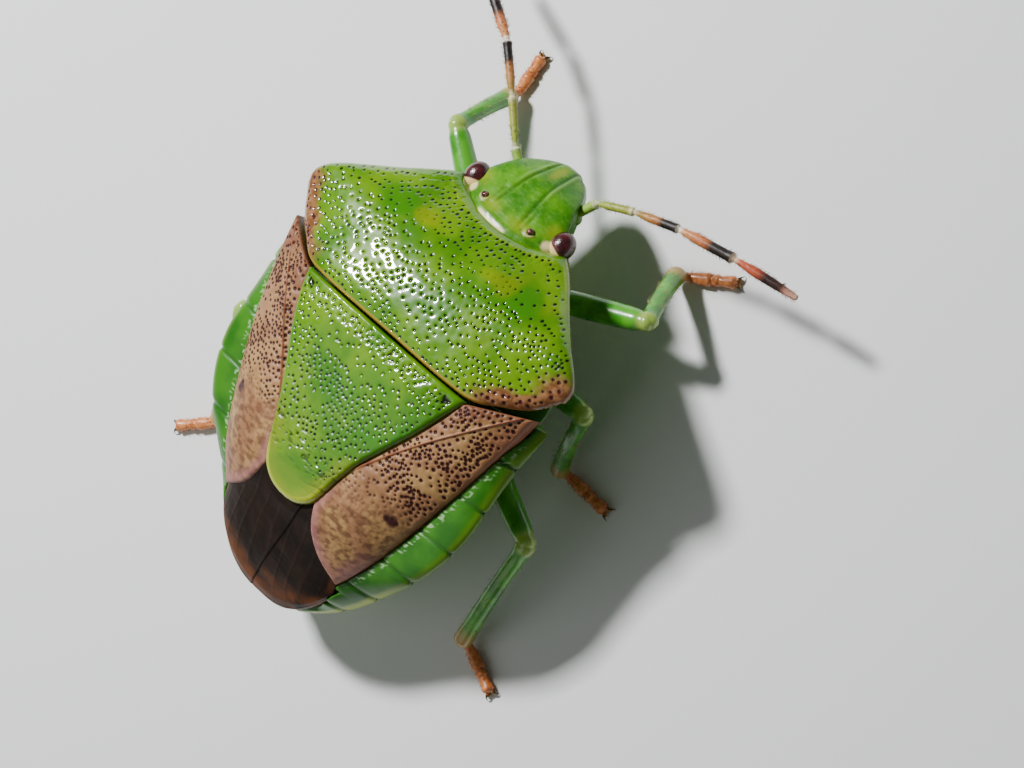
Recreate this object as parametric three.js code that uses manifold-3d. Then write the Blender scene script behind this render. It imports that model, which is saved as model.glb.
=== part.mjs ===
// A green shield bug with brown forewings, life size, standing on its six legs with its feelers spread.
// Millimetres. +X is the way the head points, +Y is the bug's left, +Z is up, and the feet stand on z = 0.
import * as THREE from "three";
import { mergeVertices } from "three/addons/utils/BufferGeometryUtils.js";
import Module from "manifold-3d";

const wasm = await Module();
wasm.setup();

// Driving dimensions
const GAP = 0.12; // seam between two pieces
const PLATE = 0.5; // thickness of the back's hard plates
const SHIELD_BASE_X = 0.72; // where pronotum and scutellum meet
const SHIELD_TIP_X = -2.8;
const SHIELD_STEP = 0.07; // scutellum stands proud of the wings
const PRONOTUM_FRONT_X = 3.2;
const HUMERAL_Y = 3.3; // half width at the shoulders
const WAIST_X = 0.7;
const WAIST_SWEEP = 0.35;
const WING_TIP_X = -4.85;
const ABDOMEN_TIP_X = WING_TIP_X + 0.15;
const WING_TIP_THICKNESS = 0.3;
const RIM_THICKNESS = 0.3; // thinnest part of the abdomen's rim
const FEMUR_R = 0.26;
const TIBIA_R = 0.21;
const TARSUS_R = 0.2;
const FOOT_AXIS_Z = 0.15; // height of a tarsus's middle line, so that its underside is cut flat by the floor
const FEELER_R = [0.2, 0.18, 0.19, 0.21, 0.2]; // the five joints of a feeler
const BEAK_R = 0.2;
const SIDES = { left: 1, right: -1 };

// Colours seen on the living animal
const paint = (color, roughness) => new THREE.MeshStandardMaterial({ color, roughness, metalness: 0 });
const GREEN = paint(0x5f9d1c, 0.28);
const HEAD_GREEN = paint(0x4f9420, 0.35);
const SHIELD_GREEN = paint(0x5aa01e, 0.3);
const WING_BROWN = paint(0xa8745c, 0.45);
const MEMBRANE_BROWN = paint(0x2e1d16, 0.3);
const LEG_GREEN = paint(0x55992b, 0.35);
const FOOT_BROWN = paint(0xa4683a, 0.5);
const FEELER_BROWN = paint(0x8a6a2c, 0.5);
const EYE_RED = paint(0x3c1014, 0.15);

// A smooth curve through [at, value] pairs, flat beyond both ends.
function curve(...pairs) {
  const slope = (i) => {
    if (i <= 0 || i >= pairs.length - 1) return 0;
    const [before, after] = [pairs[i - 1], pairs[i + 1]];
    return (after[1] - before[1]) / (after[0] - before[0]);
  };
  const ends = (i) => {
    const [a, b] = i === 0 ? [0, 1] : [i - 1, i];
    return (pairs[b][1] - pairs[a][1]) / (pairs[b][0] - pairs[a][0]);
  };
  const slopes = pairs.map((_, i) => (i === 0 || i === pairs.length - 1 ? ends(i) : slope(i)));
  return (t) => {
    if (t <= pairs[0][0]) return pairs[0][1];
    const last = pairs[pairs.length - 1];
    if (t >= last[0]) return last[1];
    const i = pairs.findIndex((p) => p[0] > t) - 1;
    const [x0, y0] = pairs[i];
    const [x1, y1] = pairs[i + 1];
    const h = x1 - x0;
    const s = (t - x0) / h;
    const a = (1 + 2 * s) * (1 - s) ** 2;
    const b = s * (1 - s) ** 2 * h;
    const c = s * s * (3 - 2 * s);
    const d = s * s * (s - 1) * h;
    return a * y0 + b * slopes[i] + c * y1 + d * slopes[i + 1];
  };
}
const mix = (a, b, t) => a + (b - a) * t;
const bump = (t, width) => Math.exp(-((t / width) ** 2));

// Shape of the back: the height of its middle line, and the height and half width of its edges
const crest = curve(
  [-4.9, 2.0], [-4.2, 2.55], [-3.6, 2.92], [-3.2, 3.15], [-2.8, 3.4], [-2.2, 3.62], [-1.6, 3.74], [-1, 3.8],
  [0, 3.92], [0.9, 3.97], [1.5, 3.92], [2.0, 3.8], [2.4, 3.62], [2.8, 3.32], [3.2, 2.93], [3.5, 2.72],
);
const edge = curve(
  [-4.9, 1.85], [-4.2, 2.2], [-3.45, 2.6], [-3.1, 2.8], [-2.6, 2.95], [-1.6, 3.13], [-0.6, 3.28], [0.9, 3.4],
  [1.8, 3.4], [2.2, 3.45], [2.4, 3.42], [2.6, 3.28], [3.0, 2.95], [3.4, 2.66], [3.6, 2.5],
);
const span = curve(
  [-4.9, 1.2], [-4.2, 1.5], [-3.45, 1.62], [-2.6, 1.98], [-1.6, 2.36], [-0.6, 2.66], [0.4, 2.9], [1.2, 3.05],
  [1.7, 3.25], [2.0, 3.3], [2.2, 3.2], [2.6, 2.67], [3.0, 2.08], [3.4, 1.5], [3.6, 1.3],
);
const SPAN_SHARE = 1.05; // the back's slope goes on this far past its edge
const back = (x, y) => mix(crest(x), edge(x), Math.min(SPAN_SHARE, Math.abs(y) / span(x)) ** 4);
const plate = curve([WING_TIP_X, WING_TIP_THICKNESS], [-3.2, PLATE], [0, PLATE]);
const PLATE_TAPER = 0.4; // share of its thickness that a plate loses towards the side
const lining = (x, y) => back(x, y) - plate(x) * (1 - PLATE_TAPER * Math.min(1, Math.abs(y) / span(x)) ** 4);

// Shape of the belly
const keel = curve([-4.9, 1.3], [-4, 1.08], [-3, 0.95], [-1, 0.88], [1, 0.95], [2, 1.1], [3, 1.35], [3.4, 1.5]);
const flank = curve(
  [-4.9, 1.35], [-4.3, 1.52], [-4, 1.62], [-3.4, 1.92], [-2.7, 2.35], [-2.2, 2.55], [-1.2, 2.72], [0, 2.78],
  [1.5, 2.75], [2.2, 2.65], [2.8, 2.4], [3.4, 2.1],
);
const belly = (x, share) => mix(keel(x), flank(x), Math.abs(share) ** 2.4);

// Outlines seen from above
const COLLAR = { y: 1.29, sweep: 0.31 }; // the pronotum's hollowed front margin takes in the head
const collarX = (y) => PRONOTUM_FRONT_X + COLLAR.sweep * (Math.abs(y) / COLLAR.y) ** 2;
const waistX = (y) => WAIST_X + WAIST_SWEEP * (Math.abs(y) / HUMERAL_Y) ** 2; // where thorax and abdomen meet
const shieldWidth = curve(
  [SHIELD_TIP_X, 0.1], [-2.75, 0.26], [-2.66, 0.4], [-2.5, 0.54], [-2.2, 0.67], [-1.8, 0.82], [-1.4, 0.98],
  [-1, 1.18], [-0.2, 1.6], [SHIELD_BASE_X, 1.98],
);
const abdomenWidth = curve(
  [ABDOMEN_TIP_X, 0.75], [-4.5, 1.05], [-4.1, 1.52], [-3.7, 1.87], [-3.4, 2.1], [-3.1, 2.33], [-2.7, 2.63],
  [-2.2, 2.89], [-1.7, 3.06], [-1.2, 3.14], [-0.2, 3.14], [0.8, 3.17], [1.3, 3.1],
);
const rimTop = curve(
  [ABDOMEN_TIP_X, 1.75], [-4.3, 1.85], [-4, 1.95], [-3.7, 2.08], [-3.4, 2.25], [-3.1, 2.45], [-2.7, 2.68],
  [-2.2, 2.86], [-1.7, 2.97], [-1.2, 3.03], [0, 3.08], [0.8, 3.15],
);
const wingOuter = curve(
  [-3.6, 1.46], [-3.1, 1.76], [-2.6, 2.0], [-1.6, 2.36], [-0.6, 2.66], [0.4, 2.9], [1.2, 3.05],
);

// Geometry from a grid of points over each face of a sheet: closed round all four sides
function sheetGeometry(rows, columns, top, under) {
  const positions = [];
  const index = [];
  const at = (face, i, j) => (face * (rows + 1) + i) * (columns + 1) + j;
  for (const point of [top, under])
    for (let i = 0; i <= rows; i++)
      for (let j = 0; j <= columns; j++) positions.push(...point(i / rows, j / columns));
  const quad = (a, b, c, d) => index.push(a, b, c, a, c, d);
  for (let i = 0; i < rows; i++)
    for (let j = 0; j < columns; j++) {
      quad(at(0, i, j), at(0, i, j + 1), at(0, i + 1, j + 1), at(0, i + 1, j));
      quad(at(1, i, j), at(1, i + 1, j), at(1, i + 1, j + 1), at(1, i, j + 1));
    }
  for (let i = 0; i < rows; i++) {
    quad(at(0, i, 0), at(0, i + 1, 0), at(1, i + 1, 0), at(1, i, 0));
    quad(at(0, i, columns), at(1, i, columns), at(1, i + 1, columns), at(0, i + 1, columns));
  }
  for (let j = 0; j < columns; j++) {
    quad(at(0, 0, j), at(1, 0, j), at(1, 0, j + 1), at(0, 0, j + 1));
    quad(at(0, rows, j), at(0, rows, j + 1), at(1, rows, j + 1), at(1, rows, j));
  }
  return new THREE.BufferGeometry()
    .setAttribute("position", new THREE.Float32BufferAttribute(positions, 3))
    .setIndex(index);
}

// Geometry of a round limb along a smooth path, with a radius that changes along it
function limbGeometry(points, radius, { steps = 10, sides = 10, flatten = 1, cap = 0.6 } = {}) {
  const path = new THREE.CatmullRomCurve3(points.map((p) => new THREE.Vector3(...p)), false, "centripetal");
  const frames = path.computeFrenetFrames(steps, false);
  const positions = [];
  const index = [];
  const rings = [];
  const addRing = (centre, i, r) => {
    const side = new THREE.Vector3().crossVectors(frames.tangents[i], new THREE.Vector3(0, 0, 1));
    if (side.lengthSq() < 1e-4) side.copy(frames.normals[i]);
    side.normalize();
    const rise = new THREE.Vector3().crossVectors(side, frames.tangents[i]).normalize();
    rings.push(positions.length / 3);
    for (let k = 0; k < sides; k++) {
      const angle = (k / sides) * Math.PI * 2;
      const p = centre.clone().addScaledVector(side, Math.cos(angle) * r * flatten);
      p.addScaledVector(rise, Math.sin(angle) * r);
      positions.push(p.x, p.y, p.z);
    }
  };
  const startRadius = radius(0);
  const endRadius = radius(1);
  const start = path.getPointAt(0);
  const end = path.getPointAt(1);
  addRing(start.clone().addScaledVector(frames.tangents[0], -cap * startRadius * 0.8), 0, startRadius * 0.6);
  for (let i = 0; i <= steps; i++) addRing(path.getPointAt(i / steps), i, radius(i / steps));
  addRing(end.clone().addScaledVector(frames.tangents[steps], cap * endRadius * 0.8), steps, endRadius * 0.6);
  for (let r = 0; r + 1 < rings.length; r++)
    for (let k = 0; k < sides; k++) {
      const [a, b] = [rings[r] + k, rings[r] + ((k + 1) % sides)];
      const [c, d] = [rings[r + 1] + k, rings[r + 1] + ((k + 1) % sides)];
      index.push(a, d, b, a, c, d);
    }
  const poles = [
    start.clone().addScaledVector(frames.tangents[0], -cap * startRadius),
    end.clone().addScaledVector(frames.tangents[steps], cap * endRadius),
  ];
  poles.forEach((pole, which) => {
    const tip = positions.length / 3;
    positions.push(pole.x, pole.y, pole.z);
    const ring = which ? rings[rings.length - 1] : rings[0];
    for (let k = 0; k < sides; k++) {
      const [a, b] = [ring + k, ring + ((k + 1) % sides)];
      index.push(...(which ? [a, tip, b] : [b, tip, a]));
    }
  });
  return new THREE.BufferGeometry()
    .setAttribute("position", new THREE.Float32BufferAttribute(positions, 3))
    .setIndex(index);
}

// Solids, joins and cuts
function solidOf(geometry) {
  const bare = geometry.clone();
  bare.deleteAttribute("normal");
  bare.deleteAttribute("uv");
  const merged = mergeVertices(bare, 1e-4);
  const triVerts = new Uint32Array(merged.index.array);
  const make = () => new wasm.Manifold(
    new wasm.Mesh({ numProp: 3, vertProperties: merged.attributes.position.array, triVerts }),
  );
  const solid = make();
  if (solid.volume() > 0) return solid;
  for (let i = 0; i < triVerts.length; i += 3) {
    [triVerts[i + 1], triVerts[i + 2]] = [triVerts[i + 2], triVerts[i + 1]];
  }
  return make();
}
const largest = (solid) => solid.decompose().sort((a, b) => b.volume() - a.volume())[0];
function geometryOf(solid) {
  const { vertProperties, triVerts } = solid.getMesh();
  return new THREE.BufferGeometry()
    .setAttribute("position", new THREE.BufferAttribute(vertProperties, 3))
    .setIndex(new THREE.BufferAttribute(triVerts, 1));
}
function ellipsoid([x, y, z], [a, b, c], detail = 12) {
  const ball = new THREE.SphereGeometry(1, detail, Math.ceil(detail * 0.7));
  ball.rotateX(Math.PI / 2);
  return solidOf(ball.scale(a, b, c).translate(x, y, z));
}

const bug = new THREE.Group();
function add(name, solid, material) {
  const geometry = geometryOf(largest(solid));
  geometry.computeVertexNormals();
  const mesh = new THREE.Mesh(geometry, material);
  mesh.name = name;
  bug.add(mesh);
}

// Back plates
const UNDERCUT = 0.06; // share of its width by which the plate's underside is narrower
const SIDE_CROWDING = 1.3; // more columns of the mesh lie near the sides, where the outline bends
function pronotum() {
  const width = curve(
    [0, COLLAR.y], [0.064, 1.5], [0.18, 1.8], [0.3, 2.08], [0.53, 2.67], [0.65, 2.97], [0.77, 3.2],
    [0.88, HUMERAL_Y], [1, 3.28],
  );
  const front = (v) => collarX(v * COLLAR.y);
  const shoulder = curve(
    [0, 0], [0.56, 0], [0.66, 0.07], [0.75, 0.24], [0.855, 0.44], [0.92, 0.64], [0.96, 0.82], [1, 0.98],
  );
  const behind = (v) => SHIELD_BASE_X + GAP / 2 + shoulder(Math.abs(v));
  const place = (u, t) => {
    const v = Math.sin(mix(-1, 1, t) * SIDE_CROWDING) / Math.sin(SIDE_CROWDING);
    return [mix(front(v), behind(v), u), v * width(u)];
  };
  const callus = (x, y) => 0.05 * bump(x - 2.75, 0.25) * bump(Math.abs(y) - 0.85, 0.4);
  const top = (u, t) => {
    const [x, y] = place(u, t);
    return [x, y, back(x, y) + callus(x, y)];
  };
  const under = (u, t) => {
    const [x, y] = place(u, t);
    const tuck = 1 - UNDERCUT * Math.min(1, Math.abs(y) / width(u)) ** 6;
    return [x, y * tuck, lining(x, y)];
  };
  return solidOf(sheetGeometry(14, 24, top, under));
}

function scutellum() {
  const place = (u, t) => {
    const s = Math.sin((u * Math.PI) / 2) ** 0.85;
    const x = mix(SHIELD_BASE_X - GAP / 2, SHIELD_TIP_X, s);
    return [x, mix(-1, 1, t) * shieldWidth(x)];
  };
  const top = (u, t) => {
    const [x, y] = place(u, t);
    const raised = SHIELD_STEP * Math.min(1, (SHIELD_BASE_X - x) / 0.6);
    return [x, y, back(x, y) + raised - 0.04 * Math.abs(mix(-1, 1, t)) ** 6];
  };
  const under = (u, t) => {
    const [x, y] = place(u, t);
    return [x, y, lining(x, y)];
  };
  return solidOf(sheetGeometry(14, 12, top, under));
}

// Each forewing's leathery part runs beside the scutellum from the shoulder to its apex.
const WING_FRONT = { inner: 0.66, outer: 1.15 };
const WING_BACK = { inner: -2.47, outer: -3.58 };
const WING_APEX = 0.3; // how far the round hind end of the leathery part bulges back
const apex = (t) => WING_APEX * Math.sin(Math.PI * t ** 0.6);
const clavus = curve([-1.7, 0.85], [-0.72, 1.52], [0.48, 2.44], [1.2, 3.0]); // seam along its inner strip
function corium(side) {
  const place = (u, t) => {
    const xIn = mix(WING_FRONT.inner, WING_BACK.inner, u);
    const xOut = mix(WING_FRONT.outer, WING_BACK.outer, u);
    const x = mix(xIn, xOut, t) - u ** 8 * apex(t);
    const frontTrim = (1 - u) ** 6 * 0.05 * Math.sin(t * Math.PI);
    const yIn = shieldWidth(xIn) + GAP;
    return [x - frontTrim, side * mix(yIn, wingOuter(xOut), t)];
  };
  const vein = (x, y) => (x > -1.7 ? 0.04 * bump(Math.abs(y) - clavus(x), 0.1) : 0);
  const top = (u, t) => {
    const [x, y] = place(u, t);
    return [x, y, back(x, y) + vein(x, y) + 0.03 * bump(t - 1, 0.06)];
  };
  const under = (u, t) => {
    const [x, y] = place(u, t);
    return [x, y, lining(x, y)];
  };
  return solidOf(sheetGeometry(14, 9, top, under));
}

// The two clear wing ends lie over each other. A slanting seam parts the upper from what shows of the lower.
const MEMBRANE_VEINS = 7;
const MEMBRANE_Y = 1.44; // half width of both together
const MEMBRANE_ROUND = 1.0; // how far the round end reaches forward at the sides
const MEMBRANE_POWER = 2.6; // squareness of the round end
const MEMBRANE_FRONT_Y = 1.44;
const roundShare = (x) => Math.max(0, (x - WING_TIP_X) / MEMBRANE_ROUND) ** (1 / MEMBRANE_POWER);
const membraneOuter = (x) => MEMBRANE_Y * roundShare(x);
function membrane(side) {
  const front = (v) => {
    const y = Math.abs(v) * MEMBRANE_FRONT_Y;
    const round = SHIELD_TIP_X - GAP - 0.02 + 0.5 * Math.min(1, y / 0.72) ** 2.6;
    const share = Math.min(1, Math.max(0, (y - 0.72) / (MEMBRANE_FRONT_Y - 0.72)));
    return Math.min(round, mix(WING_BACK.inner, WING_BACK.outer, share) - apex(share) - 1.3 * GAP);
  };
  const rear = (v) => WING_TIP_X + MEMBRANE_ROUND * Math.abs(v) ** MEMBRANE_POWER;
  const seam = (u) => -0.28 + 0.5 * u;
  const place = (u, t) => {
    const near = seam(u) + side * 0.035;
    const v = mix(near, side, t);
    const y = v * mix(MEMBRANE_FRONT_Y, MEMBRANE_Y, u);
    return [mix(front(v), rear(v), u), y, v];
  };
  const ridge = (v) => 0.035 * Math.cos(v * Math.PI * MEMBRANE_VEINS) ** 4;
  const lift = side > 0 ? 0.05 : 0;
  const top = (u, t) => {
    const [x, y, v] = place(u, t);
    return [x, y, back(x, y) - 0.08 + lift + ridge(v) * Math.sin(Math.PI * Math.min(1, u + 0.1))];
  };
  const under = (u, t) => {
    const [x, y] = place(u, t);
    return [x, y, lining(x, y)];
  };
  return solidOf(sheetGeometry(8, 18, top, under));
}

// Underparts. The abdomen's rim shows outside the wings, banded by the borders of its segments.
const SEGMENT_BORDERS = [0.2, -0.75, -1.7, -2.6, -3.4, -4.05];
const RIM_SHARES = [1, 0.85, 0.4, 0]; // columns across the rim, from its outer edge to the wing
const MIDDLE_COLUMNS = 7;
const RIM_LEAST = 0.08; // the narrowest rim that shows
function abdomen() {
  const rimColumns = (sign) => RIM_SHARES.map((share) => ({ onRim: true, sign, share }));
  const middleColumns = Array.from({ length: MIDDLE_COLUMNS }, (_, i) => {
    return { onRim: false, share: mix(-1, 1, i / (MIDDLE_COLUMNS - 1)) };
  });
  const columns = [...rimColumns(-1), ...middleColumns, ...rimColumns(1).reverse()];
  const near = (x, depth) => SEGMENT_BORDERS.reduce((sum, border) => sum + depth * bump(x - border, 0.07), 0);
  const place = (u, t) => {
    const { onRim, sign, share } = columns[Math.round(t * (columns.length - 1))];
    const aside = onRim ? abdomenWidth(WAIST_X) : share * abdomenWidth(WAIST_X);
    const x = mix(waistX(aside), ABDOMEN_TIP_X, u);
    const width = abdomenWidth(x) - near(x, 0.05);
    const covered = x > WING_BACK.outer - 0.1 ? wingOuter(x) : membraneOuter(x);
    const bare = covered + GAP + 0.05 < width - RIM_LEAST; // the rim shows outside the wing here
    const inner = bare ? covered + GAP + 0.05 : width - RIM_LEAST;
    const y = onRim ? sign * mix(inner, width, share) : share * (inner - 0.02);
    return { x, y, raised: onRim && bare, width, covered, share };
  };
  const top = (u, t) => {
    const { x, y, raised, width, covered, share } = place(u, t);
    const beside = Math.max(rimTop(x), belly(x, y / width) + RIM_THICKNESS);
    if (!raised) return [x, y, Math.min(lining(x, y) - GAP - 0.03, beside)];
    const flat = mix(back(x, covered) - 0.08, rimTop(x), share ** 1.5);
    return [x, y, flat - near(x, 0.04)];
  };
  const under = (u, t) => {
    const { x, y, width } = place(u, t);
    return [x, y, belly(x, y / width) + near(x, 0.04)];
  };
  return solidOf(sheetGeometry(30, columns.length - 1, top, under));
}

const CHEST_FRONT_Y = 1.1; // the chest's front end is narrower than the pronotum
const HIPS = { fore: [2.5, 0.72], mid: [1.35, 0.85], hind: [0.1, 0.95] };
function thorax() {
  const width = curve(
    [0, CHEST_FRONT_Y], [0.16, 1.42], [0.35, 1.95], [0.55, 2.5], [0.7, 2.8], [0.85, 2.95], [1, 2.95],
  );
  const place = (u, t) => {
    const y = mix(-1, 1, t) * width(u);
    return [mix(collarX(mix(-1, 1, t) * CHEST_FRONT_Y), waistX(y) + GAP, u), y];
  };
  const top = (u, t) => {
    const [x, y] = place(u, t);
    return [x, y, lining(x, y) - GAP];
  };
  const under = (u, t) => {
    const [x, y] = place(u, t);
    const flat = Math.min(belly(x, y / width(u)), lining(x, y) - GAP - 0.25);
    return [x, y, flat];
  };
  return solidOf(sheetGeometry(8, 14, top, under));
}
const coxa = ([x, y], side) => ellipsoid([x, side * y, keel(x) + 0.02], [0.36, 0.4, 0.26], 8);

// Head
const HEAD_TIP_X = 4.66;
const HEAD_BACK_Y = 1.0;
const headTop = curve(
  [3.2, 2.88], [3.5, 2.76], [3.9, 2.55], [4.2, 2.36], [4.45, 2.05], [4.58, 1.87], [HEAD_TIP_X, 1.75],
);
const headSide = curve(
  [3.2, 2.6], [3.6, 2.5], [3.9, 2.4], [4.2, 2.24], [4.45, 1.9], [4.58, 1.73], [HEAD_TIP_X, 1.66],
);
const headLow = curve([3.0, 1.62], [3.6, 1.5], [4.2, 1.42], [4.5, 1.43], [HEAD_TIP_X, 1.5]);
const headWidth = curve(
  [3.2, 0.98], [3.5, 1.04], [3.75, 1.03], [3.9, 0.97], [4.05, 0.88], [4.2, 0.79], [4.35, 0.69], [4.48, 0.54],
  [4.58, 0.37], [HEAD_TIP_X, 0.16],
);
const HEAD_RIM = 0.12; // thickness of the head's side edges
const EYE = { at: [3.64, 1.06, 2.42], r: [0.26, 0.22, 0.24] };
const OCELLUS = { at: [3.48, 0.55], r: 0.1 };
const FEELER_ROOT = { x: 4.02, y: 0.62, z: 1.86 };

function headShell() {
  const place = (u, t) => {
    const s = Math.sin((u * Math.PI) / 2);
    const neck = collarX(mix(-1, 1, t) * HEAD_BACK_Y) + GAP;
    return [mix(neck, HEAD_TIP_X, s), mix(-1, 1, t)];
  };
  const tylus = (x, y) => -0.05 * bump(Math.abs(y) - mix(0.4, 0.2, (x - 3.2) / 1.5), 0.045);
  const top = (u, t) => {
    const [x, v] = place(u, t);
    const y = v * headWidth(x);
    return [x, y, mix(headTop(x), headSide(x), Math.abs(v) ** 2.5) + tylus(x, y)];
  };
  const under = (u, t) => {
    const [x, v] = place(u, t);
    return [x, v * headWidth(x), mix(headLow(x), headSide(x) - HEAD_RIM, Math.abs(v) ** 5)];
  };
  return solidOf(sheetGeometry(10, 22, top, under));
}

// Limbs: each is a smooth path in the bug's own frame.
const swollen = (r, share) => (t) => r * (1 - share + share * Math.sin(Math.PI * Math.min(1, 0.15 + 0.75 * t)));
function limb(points, radius, grow = 0, options = {}) {
  return solidOf(limbGeometry(points, (t) => radius(t) + grow, options));
}

const LEGS = {
  fore_right: {
    hip: HIPS.fore, side: -1, knee: [3.41, -2.85, 1.55], ankle: [4.22, -2.24, 0.34], toe: [4.72, -3.1],
  },
  mid_right: {
    hip: HIPS.mid, side: -1, knee: [1.46, -2.95, 1.6], ankle: [0.16, -2.66, 0.34], toe: [0.1, -3.68],
  },
  hind_right: {
    hip: HIPS.hind, side: -1, knee: [-0.94, -3.55, 1.62], ankle: [-3.38, -3.12, 0.34], toe: [-3.78, -3.98],
  },
  fore_left: {
    hip: HIPS.fore, side: 1, knee: [3.95, 2.48, 1.5], ankle: [4.82, 2.55, 0.34], toe: [5.62, 2.6],
  },
  mid_left: {
    hip: HIPS.mid, side: 1, knee: [1.7, 2.9, 1.55], ankle: [1.0, 3.0, 0.34], toe: [0.85, 3.9],
  },
  hind_left: {
    hip: HIPS.hind, side: 1, knee: [-1.2, 3.8, 1.62], ankle: [-3.45, 3.55, 0.34], toe: [-4.1, 4.3],
  },
};
const middle = (a, b, lift = 0, t = 0.5) => [mix(a[0], b[0], t), mix(a[1], b[1], t), mix(a[2], b[2], t) + lift];
const femurRadius = swollen(FEMUR_R, 0.2);
const tibiaRadius = (t) => TIBIA_R * mix(1.05, 0.95, t);
const tarsusRadius = (t) => TARSUS_R * (0.9 + 0.12 * Math.cos(t * Math.PI * 6)) * (t > 0.85 ? 0.85 : 1);

function legParts({ hip, side, knee, ankle, toe }) {
  const root = [hip[0], side * hip[1], keel(hip[0]) + 0.05];
  const thigh = [root, middle(root, knee, root[0] > 2 ? 0 : 0.12), knee];
  const heel = [mix(ankle[0], toe[0], 0.14), mix(ankle[1], toe[1], 0.14), FOOT_AXIS_Z];
  const toeEnd = [toe[0], toe[1], FOOT_AXIS_Z];
  const shinEnd = [ankle[0], ankle[1], ankle[2]];
  const shin = [knee, middle(knee, shinEnd, 0.05), shinEnd];
  const foot = [heel, middle(heel, toeEnd), toeEnd];
  const femur = (grow) => limb(thigh, femurRadius, grow, { steps: 7, sides: 8 });
  const tibia = (grow) => limb(shin, tibiaRadius, grow, { steps: 5, sides: 8 });
  const tarsus = (grow) => limb(foot, tarsusRadius, grow, { steps: 9, sides: 8, cap: 0.7 });
  return { femur, tibia, tarsus };
}
const underFloor = solidOf(new THREE.BoxGeometry(20, 20, 2).translate(0, 0, -1));

// Feelers: root, then the end of each of the five joints
const FEELERS = {
  right: [[4.52, -0.92, 1.95], [4.82, -1.62, 1.98], [5.08, -2.5, 1.98], [5.27, -3.62, 1.9], [5.4, -4.88, 1.7]],
  left: [[4.36, 1.02, 1.95], [5.04, 1.66, 1.98], [5.76, 2.4, 1.98], [6.24, 3.24, 1.9], [6.66, 4.4, 1.7]],
};
function feeler(side, grow, sign) {
  const points = [[FEELER_ROOT.x, sign * FEELER_ROOT.y, FEELER_ROOT.z], ...FEELERS[side]];
  const spindle = (t) => 0.92 + 0.12 * Math.sin(Math.PI * t) - 0.25 * t ** 4;
  const club = (t) => mix(0.82, 1.02, t ** 0.7);
  const pieces = FEELER_R.map((r, i) => {
    const [a, b] = [points[i], points[i + 1]];
    const shape = i === FEELER_R.length - 1 ? spindle : club;
    return limb([a, middle(a, b), b], (t) => r * shape(t), grow, { steps: 3, sides: 8, cap: 0.5 });
  });
  return pieces.reduce((whole, piece) => whole.add(piece));
}

// Beak, folded back between the hips
function beak(grow) {
  const along = [4.2, 3.7, 3.1, 2.4, 1.6, 0.9];
  const points = along.map((x) => [x, 0, x > 3.3 ? mix(1.12, 1.3, (x - 3.3) / 0.9) - 0.1 : keel(x) - 0.14]);
  const jointed = (t) => BEAK_R * mix(1, 0.7, t) * (1 - 0.08 * Math.cos(t * Math.PI * 8));
  return limb(points, jointed, grow, { steps: 12, sides: 8 });
}

// Assembly: each piece is cut clear of the one that it is set in.
let collar = pronotum();
add("scutellum", scutellum(), SHIELD_GREEN);
for (const [side, sign] of Object.entries(SIDES)) {
  add(`corium_${side}`, corium(sign), WING_BROWN);
  add(`membrane_${side}`, membrane(sign), MEMBRANE_BROWN);
}

let chest = thorax();
let tail = abdomen();
let head = headShell();
for (const sign of Object.values(SIDES)) {
  for (const hip of [HIPS.fore, HIPS.mid]) chest = chest.add(coxa(hip, sign));
  tail = tail.add(coxa(HIPS.hind, sign));
}

for (const [side, sign] of Object.entries(SIDES)) {
  const stump = [[3.85, sign * 0.5, 1.85], [3.97, sign * 0.6, 1.87], [4.07, sign * 0.68, 1.89]];
  const tubercle = limb(stump, () => 0.24, 0, { steps: 3, sides: 8 });
  head = head.add(tubercle);
  const [x, y, z] = EYE.at;
  const eye = ellipsoid([x, sign * y, z], EYE.r, 14);
  const socket = ellipsoid([x, sign * y, z], EYE.r.map((r) => r + GAP * 0.6), 10);
  head = head.subtract(socket);
  collar = collar.subtract(socket);
  add(`eye_${side}`, eye, EYE_RED);
  const [ox, oy] = OCELLUS.at;
  head = head.add(ellipsoid([ox, sign * oy, headTop(ox) - 0.02], [OCELLUS.r, OCELLUS.r, OCELLUS.r], 8));
  head = head.subtract(feeler(side, GAP, sign));
  add(`antenna_${side}`, feeler(side, 0, sign), FEELER_BROWN);
}

for (const [name, leg] of Object.entries(LEGS)) {
  const { femur, tibia, tarsus } = legParts(leg);
  chest = chest.subtract(femur(GAP));
  tail = tail.subtract(femur(GAP));
  if (leg.hip === HIPS.fore) collar = collar.subtract(femur(GAP));
  add(`femur_${name}`, femur(0), LEG_GREEN);
  add(`tibia_${name}`, largest(tibia(0).subtract(femur(GAP))), LEG_GREEN);
  add(`tarsus_${name}`, largest(tarsus(0).subtract(tibia(GAP)).subtract(underFloor)), FOOT_BROWN);
}

head = head.subtract(beak(GAP));
chest = chest.subtract(beak(GAP));
tail = tail.subtract(beak(GAP));
add("beak", beak(0), FOOT_BROWN);
add("pronotum", collar, GREEN);
add("head", head, HEAD_GREEN);
add("thorax", chest, LEG_GREEN);
add("abdomen", tail, LEG_GREEN);

// The whole outline is centred over the origin.
const outline = new THREE.Box3().setFromObject(bug);
const centre = outline.getCenter(new THREE.Vector3());
bug.position.set(-centre.x, -centre.y, 0);
const placed = new THREE.Group();
placed.add(bug);

export default placed;
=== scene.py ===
"""A green shield bug with brown forewings, life size, on its six legs: the look of every surface.

Shapes are worked out in millimetres in the bug's own frame, which the CAD boxes place in the row's frame.
+X is the way the head points, +Y is the bug's left, +Z is up, and the feet stand on z = 0.
"""

import math
import random

import bmesh
import bpy
import numpy as np
from mathutils import Matrix, Vector, kdtree, noise


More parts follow.
